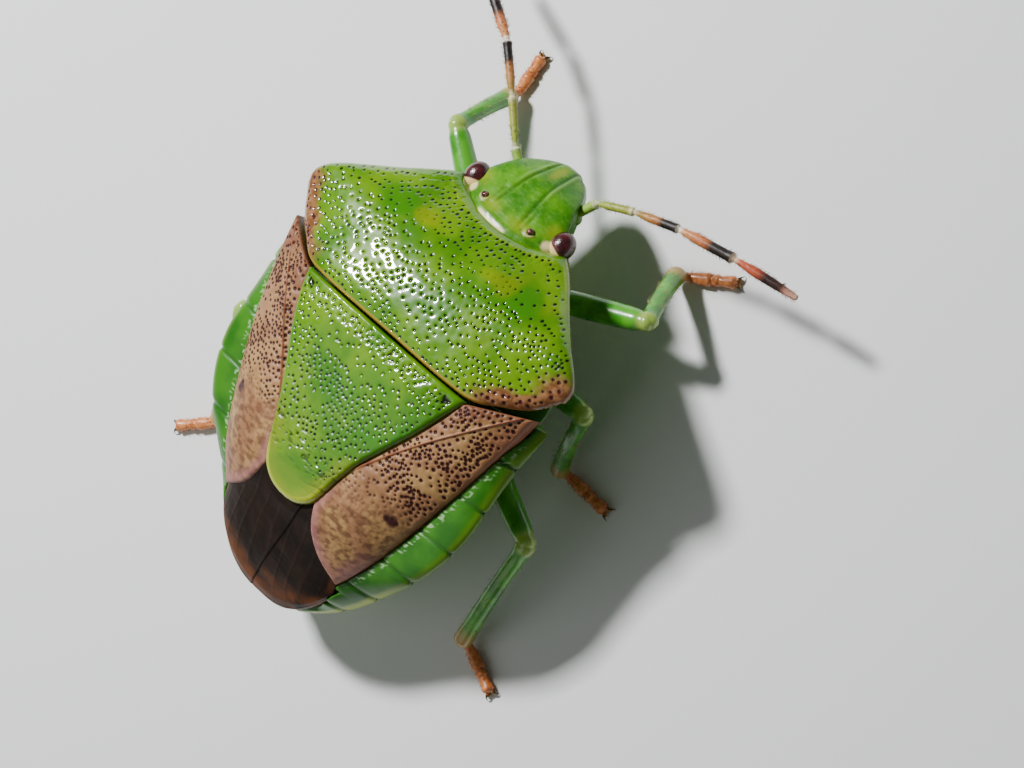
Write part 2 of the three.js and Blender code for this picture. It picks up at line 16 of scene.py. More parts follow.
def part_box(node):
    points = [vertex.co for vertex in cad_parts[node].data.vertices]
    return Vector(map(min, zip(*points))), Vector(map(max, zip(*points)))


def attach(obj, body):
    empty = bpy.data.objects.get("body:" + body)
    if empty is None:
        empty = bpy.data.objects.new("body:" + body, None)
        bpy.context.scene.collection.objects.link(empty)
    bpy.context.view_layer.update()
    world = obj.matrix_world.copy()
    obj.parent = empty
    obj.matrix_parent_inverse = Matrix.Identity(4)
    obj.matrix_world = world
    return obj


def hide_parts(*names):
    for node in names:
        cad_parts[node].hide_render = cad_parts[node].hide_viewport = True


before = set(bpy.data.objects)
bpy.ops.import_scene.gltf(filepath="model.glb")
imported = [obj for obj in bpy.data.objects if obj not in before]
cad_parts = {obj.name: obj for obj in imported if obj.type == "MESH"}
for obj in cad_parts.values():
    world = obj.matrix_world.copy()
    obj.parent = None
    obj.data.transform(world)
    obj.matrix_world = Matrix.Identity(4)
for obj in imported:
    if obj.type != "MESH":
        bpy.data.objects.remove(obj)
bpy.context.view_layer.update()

MM = 0.001

# Driving dimensions, in millimetres, as in the part
GAP = 0.12
PLATE = 0.5
SHIELD_BASE_X = 0.72
SHIELD_TIP_X = -2.8
SHIELD_STEP = 0.07
PRONOTUM_FRONT_X = 3.2
HUMERAL_Y = 3.3
COLLAR_Y = 1.29
COLLAR_SWEEP = 0.31
WAIST_X = 0.7
WAIST_SWEEP = 0.35
WING_TIP_X = -4.85
ABDOMEN_TIP_X = WING_TIP_X + 0.15
HEAD_TIP_X = 4.66
MEMBRANE_Y = 1.44
MEMBRANE_ROUND = 1.0
MEMBRANE_POWER = 2.6
FOOT_AXIS_Z = 0.15
SPAN_SHARE = 1.05  # the back's slope goes on this far past its edge
PLATE_TAPER = 0.4  # share of its thickness that a plate loses towards the side
BACK_ROUND = 4
BELLY_ROUND = 2.4
SIDES = {"left": 1, "right": -1}

# Where the bug's own frame lies in the row's frame: the shield's box gives both shifts
shield_low, shield_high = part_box("scutellum")
bug_x = shield_high.x / MM - (SHIELD_BASE_X - GAP / 2)
bug_y = (shield_low.y + shield_high.y) / 2 / MM
INTO_ROW = Matrix.Scale(MM, 4) @ Matrix.Translation((bug_x, bug_y, 0))

# The photograph's camera, in the bug's own frame
CAMERA_AT = Vector((11.394, -25.269, 53.221))
CAMERA_RIGHT = Vector((0.58163, -0.68812, -0.43381))
CAMERA_UP = Vector((0.79342, 0.59751, 0.11599))
FOCAL_PIXELS = 3274.8
IMAGE_WIDTH = 1024
SENSOR_WIDTH = 36


class Curve:
    """A smooth curve through (at, value) pairs, flat beyond both ends."""

    def __init__(self, *pairs):
        self.at, self.value = np.array(pairs, float).T
        inner = (self.value[2:] - self.value[:-2]) / (self.at[2:] - self.at[:-2])
        first = (self.value[1] - self.value[0]) / (self.at[1] - self.at[0])
        last = (self.value[-1] - self.value[-2]) / (self.at[-1] - self.at[-2])
        self.slope = np.concatenate([[first], inner, [last]])

    def __call__(self, t):
        t = np.clip(t, self.at[0], self.at[-1])
        i = np.clip(np.searchsorted(self.at, t, side="right") - 1, 0, len(self.at) - 2)
        h = self.at[i + 1] - self.at[i]
        s = (t - self.at[i]) / h
        start = (1 + 2 * s) * (1 - s) ** 2 * self.value[i] + s * (1 - s) ** 2 * h * self.slope[i]
        end = s * s * (3 - 2 * s) * self.value[i + 1] + s * s * (s - 1) * h * self.slope[i + 1]
        return start + end


def mix(a, b, t):
    return a + (b - a) * t


def clamp(t):
    return np.clip(t, 0, 1)


def bump(t, width):
    return np.exp(-((t / width) ** 2))


def step(low, high, t):
    """0 below low, 1 above high, smooth between them."""
    s = clamp((t - low) / (high - low))
    return s * s * (3 - 2 * s)


# The back and the belly, as in the part
crest = Curve(
    (-4.9, 2.0), (-4.2, 2.55), (-3.6, 2.92), (-3.2, 3.15), (-2.8, 3.4), (-2.2, 3.62), (-1.6, 3.74), (-1, 3.8),
    (0, 3.92), (0.9, 3.97), (1.5, 3.92), (2.0, 3.8), (2.4, 3.62), (2.8, 3.32), (3.2, 2.93), (3.5, 2.72),
)
edge = Curve(
    (-4.9, 1.85), (-4.2, 2.2), (-3.45, 2.6), (-3.1, 2.8), (-2.6, 2.95), (-1.6, 3.13), (-0.6, 3.28),
    (0.9, 3.4), (1.8, 3.4), (2.2, 3.45), (2.4, 3.42), (2.6, 3.28), (3.0, 2.95), (3.4, 2.66), (3.6, 2.5),
)
span = Curve(
    (-4.9, 1.2), (-4.2, 1.5), (-3.45, 1.62), (-2.6, 1.98), (-1.6, 2.36), (-0.6, 2.66), (0.4, 2.9),
    (1.2, 3.05), (1.7, 3.25), (2.0, 3.3), (2.2, 3.2), (2.6, 2.67), (3.0, 2.08), (3.4, 1.5), (3.6, 1.3),
)
plate = Curve((WING_TIP_X, 0.3), (-3.2, PLATE), (0, PLATE))
keel = Curve((-4.9, 1.3), (-4, 1.08), (-3, 0.95), (-1, 0.88), (1, 0.95), (2, 1.1), (3, 1.35), (3.4, 1.5))
flank = Curve(
    (-4.9, 1.35), (-4.3, 1.52), (-4, 1.62), (-3.4, 1.92), (-2.7, 2.35), (-2.2, 2.55), (-1.2, 2.72), (0, 2.78),
    (1.5, 2.75), (2.2, 2.65), (2.8, 2.4), (3.4, 2.1),
)
shield_width = Curve(
    (SHIELD_TIP_X, 0.06), (-2.76, 0.24), (-2.66, 0.42), (-2.5, 0.57), (-2.2, 0.7), (-1.8, 0.83), (-1.4, 0.98),
    (-1, 1.18), (-0.2, 1.6), (SHIELD_BASE_X, 1.98),
)
abdomen_width = Curve(
    (ABDOMEN_TIP_X, 0.75), (-4.5, 1.05), (-4.1, 1.52), (-3.7, 1.87), (-3.4, 2.1), (-3.1, 2.33), (-2.7, 2.63),
    (-2.2, 2.89), (-1.7, 3.06), (-1.2, 3.14), (-0.2, 3.14), (0.8, 3.17), (1.3, 3.1),
)
rim_top = Curve(
    (ABDOMEN_TIP_X, 1.75), (-4.3, 1.85), (-4, 1.95), (-3.7, 2.08), (-3.4, 2.25), (-3.1, 2.45), (-2.7, 2.68),
    (-2.2, 2.86), (-1.7, 2.97), (-1.2, 3.03), (0, 3.08), (0.8, 3.15),
)
wing_outer = Curve(
    (-3.6, 1.46), (-3.1, 1.76), (-2.6, 2.0), (-1.6, 2.36), (-0.6, 2.66), (0.4, 2.9), (1.2, 3.05),
)
clavus = Curve((-1.7, 0.85), (-0.72, 1.52), (0.48, 2.44), (1.2, 3.0))


def back(x, y):
    return mix(crest(x), edge(x), np.minimum(SPAN_SHARE, np.abs(y) / span(x)) ** BACK_ROUND)


def lining(x, y):
    return back(x, y) - plate(x) * (1 - PLATE_TAPER * np.minimum(1, np.abs(y) / span(x)) ** BACK_ROUND)


def belly(x, share):
    return mix(keel(x), flank(x), np.abs(share) ** BELLY_ROUND)


def collar_x(y):
    return PRONOTUM_FRONT_X + COLLAR_SWEEP * (np.abs(y) / COLLAR_Y) ** 2


def waist_x(y):
    return WAIST_X + WAIST_SWEEP * (np.abs(y) / HUMERAL_Y) ** 2


# Meshes: a grid bent to a shape, closed by merging or by a wall
TOUCHING = 1e-4
WALL_STEPS = 2


def skin(rows, columns, shape):
    """A grid bent by shape, which takes u and v from 0 to 1 and gives x, y, z and the points' marks."""
    bm = bmesh.new()
    bmesh.ops.create_grid(bm, x_segments=columns, y_segments=rows, size=0.5)
    at = np.array([vert.co[:2] for vert in bm.verts]) + 0.5
    x, y, z, marks = shape(at[:, 1], at[:, 0])
    for vert, *place in zip(bm.verts, x, y, z):
        vert.co = place
    for name, values in marks.items():
        layer = bm.verts.layers.float.new(name)
        for vert, value in zip(bm.verts, np.broadcast_to(values, x.shape)):
            vert[layer] = value
    return bm


def sealed(bm):
    """Merges the points where a skin meets itself and turns its faces out."""
    bmesh.ops.remove_doubles(bm, verts=bm.verts, dist=TOUCHING)
    bmesh.ops.dissolve_degenerate(bm, edges=bm.edges, dist=TOUCHING)
    bmesh.ops.holes_fill(bm, edges=[e for e in bm.edges if e.is_boundary], sides=0)
    bmesh.ops.recalc_face_normals(bm, faces=bm.faces)
    return bm


def walled(bm, depth, lean=1.0):
    """Turns the border of an open skin down by a wall that may lean in, then closes it underneath."""
    for _ in range(WALL_STEPS):
        border = [e for e in bm.edges if e.is_boundary]
        grown = bmesh.ops.extrude_edge_only(bm, edges=border)["geom"]
        lower = [g for g in grown if isinstance(g, bmesh.types.BMVert)]
        bmesh.ops.translate(bm, vec=(0, 0, -depth / WALL_STEPS), verts=lower)
        bmesh.ops.scale(bm, vec=(1, lean, 1), verts=lower)
    return sealed(bm)


def border_of(outline, count, sides, ends):
    """Points along an outline's sides and across its ends."""
    around = np.linspace(0, 1, count)
    lines = [outline(around, np.full(count, side)) for side in sides]
    lines += [outline(np.full(count, end), mix(*sides, around)) for end in ends]
    return np.hstack([np.array(line) for line in lines]).T


def turned(t, power):
    """Round a closed body: the share across it from -1 to 1, and whether the place is on its upper half."""
    angle = t * 2 * np.pi
    v = np.sin(angle)
    return np.sign(v) * np.abs(v) ** power, np.cos(angle) > 0


def roll_in(share, power):
    """1 over most of a closed body's width, falling to 0 in a round at its sides."""
    return np.sqrt(np.maximum(0, 1 - np.abs(share) ** power))


def rolled(x, y, z, border, radius, depth):
    """Lets a plate's top fall away in a round edge within a radius of its border."""
    tree = kdtree.KDTree(len(border))
    for i, point in enumerate(border):
        tree.insert((point[0], point[1], 0), i)
    tree.balance()
    away = np.array([tree.find((a, b, 0))[2] for a, b in zip(x, y)])
    near = 1 - clamp(away / radius)
    return z - depth * (1 - np.sqrt(1 - near ** 2)), away


def joined(*parts):
    """One mesh of several."""
    whole = parts[0]
    for part in parts[1:]:
        copy = bpy.data.meshes.new("part")
        part.to_mesh(copy)
        part.free()
        whole.from_mesh(copy)
        bpy.data.meshes.remove(copy)
    return whole


def finish_piece(name, bm, material, slot, *nodes):
    """Places a mesh in the row's frame as a piece that stands for its nodes."""
    bmesh.ops.transform(bm, matrix=INTO_ROW, verts=bm.verts)
    for face in bm.faces:
        face.smooth = True
    mesh = bpy.data.meshes.new(name)
    bm.to_mesh(mesh)
    bm.free()
    mesh.materials.append(material)
    piece = bpy.data.objects.new(name, mesh)
    bpy.context.scene.collection.objects.link(piece)
    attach(piece, "root")
    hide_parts(*nodes)


# Punctures
WIDEST = 0.22  # more than any spacing, so that near points lie in adjoining cells
TRIES = 900  # for each square millimetre
SWAY = 0.35
LOOSENESS = 0.45
GOLDEN = 0.61803


def scatter(inside, low, high, spacing, seed, stretch=1.3):
    """Points over an area in wavy rows across the body, no two nearer than the spacing."""
    rng = random.Random(seed)
    points, cells = [], {}
    tries = int(TRIES * (high[0] - low[0]) * (high[1] - low[1]))
    for _ in range(tries):
        x, y = rng.uniform(low[0], high[0]), rng.uniform(low[1], high[1])
        if not inside(x, y):
            continue
        sway = SWAY * noise.noise(Vector((x * 1.4, y * 1.4, seed)))
        loose = 1 + LOOSENESS * noise.noise(Vector((x * 4, y * 4, seed + 5)))
        least = spacing(x) * loose
        along = x + sway
        cell = (int(along // WIDEST), int(y // WIDEST))
        near = [p for i in (-1, 0, 1) for j in (-1, 0, 1) for p in cells.get((cell[0] + i, cell[1] + j), ())]
        if all(math.hypot((along - a) / stretch, (y - b) * stretch) > least for a, b in near):
            cells.setdefault(cell, []).append((along, y))
            points.append((x, y))
    return points


def punctured(x, y, points):
    """Distance from each place to the nearest puncture, and that puncture's own number between 0 and 1."""
    tree = kdtree.KDTree(len(points))
    for i, point in enumerate(points):
        tree.insert((*point, 0), i)
    tree.balance()
    found = [tree.find((a, b, 0)) for a, b in zip(x, y)]
    own = np.array([f[1] for f in found]) * GOLDEN % 1
    return np.array([f[2] for f in found]), own


def wavy(x, y, scale, seed):
    """Smooth noise from -1 to 1 over the body."""
    return np.array([noise.noise(Vector((a * scale, b * scale, seed))) for a, b in zip(x, y)])


# Materials
class Reading:
    """An output of a shader node. Python sums on it add Math nodes to its material."""

    def __init__(self, finish, socket):
        self.finish = finish
        self.socket = socket

    def maths(self, operation, *values):
        return self.finish.node("ShaderNodeMath", {"operation": operation}, dict(enumerate(values)))

    def __add__(self, other):
        return self.maths("ADD", self, other)

    def __sub__(self, other):
        return self.maths("SUBTRACT", self, other)

    def __mul__(self, other):
        return self.maths("MULTIPLY", self, other)

    def __rsub__(self, other):
        return self.maths("SUBTRACT", other, self)

    __radd__ = __add__
    __rmul__ = __mul__

    def between(self, low, high):
        """0 below low, 1 above high, smooth between them."""
        inputs = {"Value": self, "From Min": low, "From Max": high}
        return self.finish.node("ShaderNodeMapRange", {"interpolation_type": "SMOOTHSTEP"}, inputs)


def colour(code):
    """A colour as the eye sees it, such as 7ea51e, as the light values that a shader takes."""
    seen = [int(code[i:i + 2], 16) / 255 for i in (0, 2, 4)]
    return (*[c / 12.92 if c <= 0.04045 else ((c + 0.055) / 1.055) ** 2.4 for c in seen], 1)


class Finish:
    """A procedural material."""

    def __init__(self, name, **plain):
        self.material = bpy.data.materials.new(name)
        self.material.use_nodes = True
        self.nodes = self.material.node_tree.nodes
        self.shader = self.nodes["Principled BSDF"]
        self.set(**plain)
        self.place = self.node("ShaderNodeTexCoord", {}, {}, "Object")

    def node(self, kind, settings, inputs, output=0):
        made = self.nodes.new(kind)
        stops = settings.pop("stops", None)
        for name, value in settings.items():
            setattr(made, name, value)
        if stops:
            ramp = made.color_ramp
            while len(ramp.elements) < len(stops):
                ramp.elements.new(0.5)
            for element, (at, code) in zip(ramp.elements, stops):
                element.position, element.color = at, colour(code)
        for key, value in inputs.items():
            self.feed(made.inputs[key], value)
        return Reading(self, made.outputs[output])

    def feed(self, socket, value):
        if isinstance(value, Reading):
            self.material.node_tree.links.new(value.socket, socket)
        else:
            socket.default_value = colour(value) if isinstance(value, str) else value

    def set(self, **values):
        for name, value in values.items():
            self.feed(self.shader.inputs[name.replace("_", " ").title().replace("Ior", "IOR")], value)

    def mark(self, name):
        """A mark that the mesh carries at its points."""
        return self.node("ShaderNodeAttribute", {"attribute_name": name}, {}, "Fac")

    def noise(self, size, detail=3.0, stretch=(1, 1, 1)):
        """Noise with features of about the given size in millimetres."""
        scale = [1 / (size * MM * s) for s in stretch]
        at = self.node("ShaderNodeMapping", {}, {"Vector": self.place, "Scale": scale})
        return self.node("ShaderNodeTexNoise", {}, {"Vector": at, "Scale": 1.0, "Detail": detail})

    def cells(self, size):
        """Distance from the middle of cells of about the given size in millimetres."""
        inputs = {"Vector": self.place, "Scale": 1 / (size * MM)}
        return self.node("ShaderNodeTexVoronoi", {}, inputs, "Distance")

    def blend(self, share, first, second):
        """One colour into another as share goes from 0 to 1."""
        return self.node("ShaderNodeMix", {"data_type": "RGBA"}, {0: share, 6: first, 7: second}, 2)

    def mottled(self, noise, first, second):
        """Two colours in soft patches."""
        return self.blend(noise.between(0.35, 0.65), first, second)

    def tinted(self, ground, *tints):
        """Lays colours over a ground, each where the mesh carries its mark and as strong as its share."""
        for name, share, code in tints:
            ground = self.blend(self.mark(name).between(0, 1) * share, ground, code)
        return ground

    def ramp(self, share, *stops):
        return self.node("ShaderNodeValToRGB", {"stops": stops}, {"Fac": share}, "Color")

    def relief(self, height, depth, strength):
        """Bumps of a height from 0 to 1, as deep as the depth in millimetres."""
        inputs = {"Height": height, "Distance": depth * MM, "Strength": strength}
        self.set(normal=self.node("ShaderNodeBump", {}, inputs))


def shield_finish():
    """Glossy yellow-green plates: black pits, a yellow or brown margin, olive patches and a painted olive
    shade on the right.
    """
    f = Finish("shield_green", coat_weight=0.9, coat_roughness=0.035, specular_ior_level=0.15)
    fine = f.noise(0.12)
    brown = f.mark("brown").between(0, 1)
    green = f.mottled(f.noise(0.9), "3a7000", "628c00")
    # the olive mark also carries a painted shade: an olive tint over the pronotum's right side
    green = f.tinted(green, ("deep", 0.7, "2f7206"), ("olive", 0.5, "858c00"), ("margin", 0.9, "a6b40e"))
    ground = f.blend(brown, green, f.mottled(fine, "6c4226", "906440"))
    ground = f.tinted(ground, ("line", 1, "9c7a2a"))
    ink = f.blend(brown, "0d1206", "3a1210")
    rough = 0.24 + fine * 0.12 + f.mark("margin") * 0.1
    f.set(base_color=f.blend(f.mark("pit").between(0.25, 0.8), ground, ink), roughness=rough)
    f.relief(fine * 0.6 + f.noise(0.05) * 0.4, depth=0.006, strength=0.35)
    return f.material


def wing_finish():
    """Buff and pinkish-brown leathery wing with dark pits, red veins and a clouded end."""
    f = Finish("wing_brown", specular_ior_level=0.25)
    fine = f.noise(0.09)
    ground = f.tinted(f.mottled(f.noise(0.5), "845c3e", "9c7450"), ("pale", 0.6, "a88652"))
    cloud = f.mark("cloud") * f.noise(0.11, 6.0, (1, 1.8, 1)).between(0.4, 0.62)
    ground = f.blend(cloud * 0.75, ground, "553423")
    ground = f.tinted(ground, ("pink", 0.5, "a0696c"), ("dusk", 0.55, "6c3c2a"))
    ground = f.tinted(ground, ("spot", 1, "3a1d1a"), ("vein", 0.85, "7a2c1e"))
    ground = f.blend(f.mark("pit").between(0.25, 0.8), ground, "34120f")
    f.set(base_color=ground, roughness=0.36 + fine * 0.2)
    f.relief(fine * 0.6 + f.noise(0.04) * 0.4, depth=0.008, strength=0.6)
    return f.material


def membrane_finish():
    """Thin dark brown wing end with an orange-brown rim, fine wrinkles and paler veins."""
    f = Finish("wing_membrane", specular_ior_level=0.16)
    soft = f.noise(0.5)
    brown = f.blend(soft.between(0.3, 0.7), "0e0704", "20120b")
    brown = f.tinted(brown, ("vein", 0.1, "3c2517"))
    rim_share = f.mark("margin") * soft.between(0.3, 0.6)
    f.set(base_color=f.blend(rim_share, brown, "643512"), roughness=0.4 + soft * 0.15)
    f.relief(f.noise(0.08, 4.0, (1, 3, 1)), depth=0.01, strength=0.7)
    return f.material


def body_finish():
    """Green underparts and rim: painted whitish glints in dashes by the wing, a yellow edge, dark breathing
    holes.
    """
    f = Finish("body_green", specular_ior_level=0.3, coat_weight=0.1, coat_roughness=0.15)
    fine = f.noise(0.07)
    green = f.mottled(f.noise(0.7), "1f5c0c", "357410")
    green = f.tinted(green, ("under", 0.75, "7fa84c"), ("groove", 0.6, "204e10"), ("margin", 1, "9fb02c"))
    # whitish dashes on the rim: painted glints of its punctures
    green = f.blend(f.mark("painted_glint_dash").between(0.25, 0.9) * 0.7, green, "9fbc8c")
    green = f.blend(f.mark("hole").between(0.3, 0.8), green, "241a10")
    f.set(base_color=green, roughness=0.3 + fine * 0.15)
    f.relief(fine * 0.7 + f.noise(0.03) * 0.3, depth=0.008, strength=0.5)
    return f.material


def head_finish():
    """Deeper green head: fine cross lines, pale ridges, a cream hind border that is a painted highlight, and
    a yellow tip.
    """
    f = Finish("head_green", specular_ior_level=0.3, coat_weight=0.12, coat_roughness=0.15)
    lines = f.noise(0.05, 4.0, (1, 2, 1))
    green = f.mottled(f.noise(0.45), "2c6c04", "4f8a08")
    green = f.blend(lines.between(0.45, 0.7) * 0.2, green, "7fa830")
    green = f.tinted(green, ("groove", 0.7, "1c420a"), ("ridge", 0.3, "8fb35c"))
    # cream: partly a painted highlight along the hind border, partly real cream rings by the ocelli and
    # corners by the eyes
    green = f.tinted(green, ("olive", 0.65, "8c9408"), ("cream", 1, "dccb92"))
    green = f.blend(f.mark("pit").between(0.3, 0.8) * 0.7, green, "1d3a0c")
    f.set(base_color=green, roughness=0.28 + lines * 0.18)
    f.relief(lines * 0.7 + f.noise(0.06) * 0.3, depth=0.01, strength=0.6)
    return f.material


def eye_finish():
    """Dark purplish red compound eye, finely faceted, with a cream band against the head."""
    f = Finish("eye_red", specular_ior_level=0.6, coat_weight=0.6, coat_roughness=0.06)
    facets = f.cells(0.022)
    red = f.blend(f.noise(0.12).between(0.3, 0.7), "2a0a0e", "5c1a20")
    red = f.blend(facets.between(0.3, 0.8) * 0.4, red, "16050a")
    f.set(base_color=f.tinted(red, ("cream", 1, "e3c583")), roughness=0.16 + facets * 0.2)
    f.relief(1 - facets, depth=0.006, strength=0.5)
    return f.material


def ocellus_finish():
    """Small clear eye: black with a painted pink glint."""
    f = Finish("ocellus", coat_weight=0.8, coat_roughness=0.04, roughness=0.12)
    f.set(base_color=f.blend(f.noise(0.06).between(0.45, 0.6), "120a0a", "8a4a44"))
    return f.material


def feeler_finish():
    """Joints from green to orange-brown, the later ones ending in black, with pale rings between them."""
    f = Finish("feeler_brown", specular_ior_level=0.45)
    fine = f.noise(0.05)
    bands = f.ramp(
        f.mark("along"),
        (0.0, "7fae3c"), (0.17, "86a83a"), (0.2, "c9cf9c"), (0.22, "8f9f35"), (0.37, "8f9231"),
        (0.4, "d5cda0"), (0.42, "a07f35"), (0.5, "b0713a"), (0.53, "171009"), (0.59, "120c08"),
        (0.6, "efe6d2"), (0.615, "d08a52"), (0.69, "b5673a"), (0.72, "1a0f0a"), (0.79, "140c08"),
        (0.8, "e3c9a8"), (0.815, "b9542e"), (0.87, "a8482a"), (0.9, "22100c"), (0.95, "3a1a14"),
        (0.97, "b5806c"), (1.0, "c79a86"),
    )
    banded = f.blend(fine.between(0.4, 0.7) * 0.25, bands, "3c2412")
    f.set(base_color=banded, roughness=0.42 + fine * 0.15)
    f.relief(fine, depth=0.006, strength=0.6)
    return f.material


def leg_finish():
    """Glossy, slightly clear green legs with knees painted paler as a highlight, and fine dark specks."""
    f = Finish(
        "leg_green", specular_ior_level=0.55, coat_weight=0.4, coat_roughness=0.08, subsurface_weight=0.25,
        subsurface_radius=(0.0003, 0.0005, 0.0001), subsurface_scale=1.0,
    )
    soft = f.noise(0.4)
    green = f.mottled(soft, "2c7c14", "4f9c22")
    # knee: a painted highlight, paler green over the knees
    green = f.tinted(green, ("knee", 0.6, "a9b85a"), ("foot", 1, "b08a4a"))
    specks = f.cells(0.13).between(0.0, 0.16)
    f.set(base_color=f.blend((1 - specks) * 0.45, green, "2b5c1c"), roughness=0.24 + soft * 0.1)
    f.relief(f.noise(0.06), depth=0.006, strength=0.5)
    return f.material


def foot_finish():
    """Orange to red-brown feet and beak with darker claws and ends."""
    f = Finish("foot_brown", specular_ior_level=0.5, coat_weight=0.15, coat_roughness=0.15)
    fine = f.noise(0.08)
    brown = f.tinted(f.mottled(fine, "b5622f", "cf8448"), ("green", 1, "7fae4c"), ("dark", 1, "1d0f0a"))
    f.set(base_color=brown, roughness=0.32 + fine * 0.15)
    f.relief(fine, depth=0.006, strength=0.6)
    return f.material


def floor_finish():
    return Finish("floor_pale", base_color="dcdedd", roughness=0.75, specular_ior_level=0.2).material


# Pronotum
CALLUS_AT = (2.62, 0.9)
SHOULDER_PATCH_AT = (1.72, 3.2)


def pronotum():
    width = Curve(
        (0, COLLAR_Y), (0.064, 1.5), (0.18, 1.8), (0.3, 2.08), (0.53, 2.67), (0.65, 2.97), (0.77, 3.2),
        (0.88, HUMERAL_Y), (1, 3.28),
    )
    shoulder = Curve(
        (0, 0), (0.56, 0), (0.66, 0.07), (0.75, 0.24), (0.855, 0.44), (0.92, 0.64), (0.96, 0.82), (1, 0.98),
    )
    hind = SHIELD_BASE_X + 0.02
    deepest = 0.022

    def outline(u, v):
        return mix(collar_x(v * COLLAR_Y), hind + shoulder(np.abs(v)), u), v * width(u)

    def inside(x, y):
        rear = hind + shoulder(abs(y) / HUMERAL_Y)
        return abs(y) < span(x) - 0.15 and rear + 0.09 < x < collar_x(y) - 0.13

    def spacing(x):
        return 0.106 + 0.012 * max(0, x - 2.5)

    pits = scatter(inside, (0.6, -3.3), (3.7, 3.3), spacing, seed=4)

    def shape(u, t):
        v = mix(-1, 1, t)
        x, y = outline(u, v)
        border = border_of(outline, 400, (-1, 1), (0, 1))
        side_y = np.abs(y)
        r = np.minimum(1, side_y / span(x))
        dome = 0.6 * step(0.9, 1.6, x) * (crest(x) - edge(x)) * (r ** 2 - r ** 4)
        z, away = rolled(x, y, back(x, y) - dome, border, radius=0.16, depth=0.13)
        callus = bump(x - CALLUS_AT[0], 0.2) * bump(side_y - CALLUS_AT[1], 0.42)
        side = step(0.12, 0.03, span(x) - side_y) * step(1.7, 2.1, x)
        seam = bump((1 - u) * 2.5 - 0.045, 0.03) * step(0.75, 0.6, np.abs(v))
        front_line = bump(u * 2.7 - 0.12, 0.03) * step(1.0, 0.85, np.abs(v))
        rough = 0.16 * wavy(x, y, 3, 1.0) + 0.06 * wavy(x, y, 11, 6.0)
        from_shoulder = np.hypot((x - SHOULDER_PATCH_AT[0]) * 1.1, side_y - SHOULDER_PATCH_AT[1])
        patch = step(0.68, 0.15, from_shoulder + rough)
        hem = step(0.5, 0.22, x - hind - shoulder(np.abs(v)) + rough) * step(0.5, 0.72, np.abs(v))
        brown = np.maximum(patch, hem)
        d, own = punctured(x, y, pits)
        size = mix(0.7, 1.05, own) * (1 + 0.35 * brown)
        soft = step(0.0, 0.05, away) * (1 - 0.6 * callus) * (1 - side)
        z = z + 0.05 * callus + 0.016 * side + 0.02 * seam + 0.012 * front_line
        z = z - soft * (0.003 * bump(d, 0.05) + deepest * bump(d, 0.023 * size))
        z = z + 0.007 * wavy(x, y, 2.5, 5.0) + 0.004 * wavy(x, y, 7, 8.0) + 0.006 * side * wavy(x, y, 14, 2.0)
        near_front = step(0.05, 0.1, away) * step(0.5, 0.12, away) * step(0.3, 0.1, u)
        grain = step(0.05, 0.45, wavy(x * 1.3, y, 17, 4.0)) * near_front
        deep = bump(x - 2.6, 0.3) * bump(side_y - 1.5, 0.5) + 0.3 * wavy(x, y, 1.6, 3.0)
        z = z - 0.01 * grain
        marks = {
            "pit": np.maximum(soft * step(0.042, 0.016, d / size), 0.42 * grain),
            "margin": np.maximum(0.4 * side, front_line * 0.3),
            "brown": brown,
            "line": clamp(seam + 0.6 * bump((1 - u) * 2.5, 0.03)),
            # olive: callus patches and random mottling, plus a painted shade that tints the right side (y
            # below 0) olive
            "olive": step(0.2, 0.9, 0.7 * callus + 0.5 * wavy(x, y, 2, 9.0) + 0.35 * step(0.0, -3.0, y)),
            "deep": step(0.2, 0.7, deep),
        }
        return x, y, z, marks

    bm = walled(skin(150, 330, shape), depth=0.26, lean=0.965)
    finish_piece("pronotum_plate", bm, SHIELD, "shield_green", "pronotum")


BASAL_PIT_AT = (0.52, 1.72)


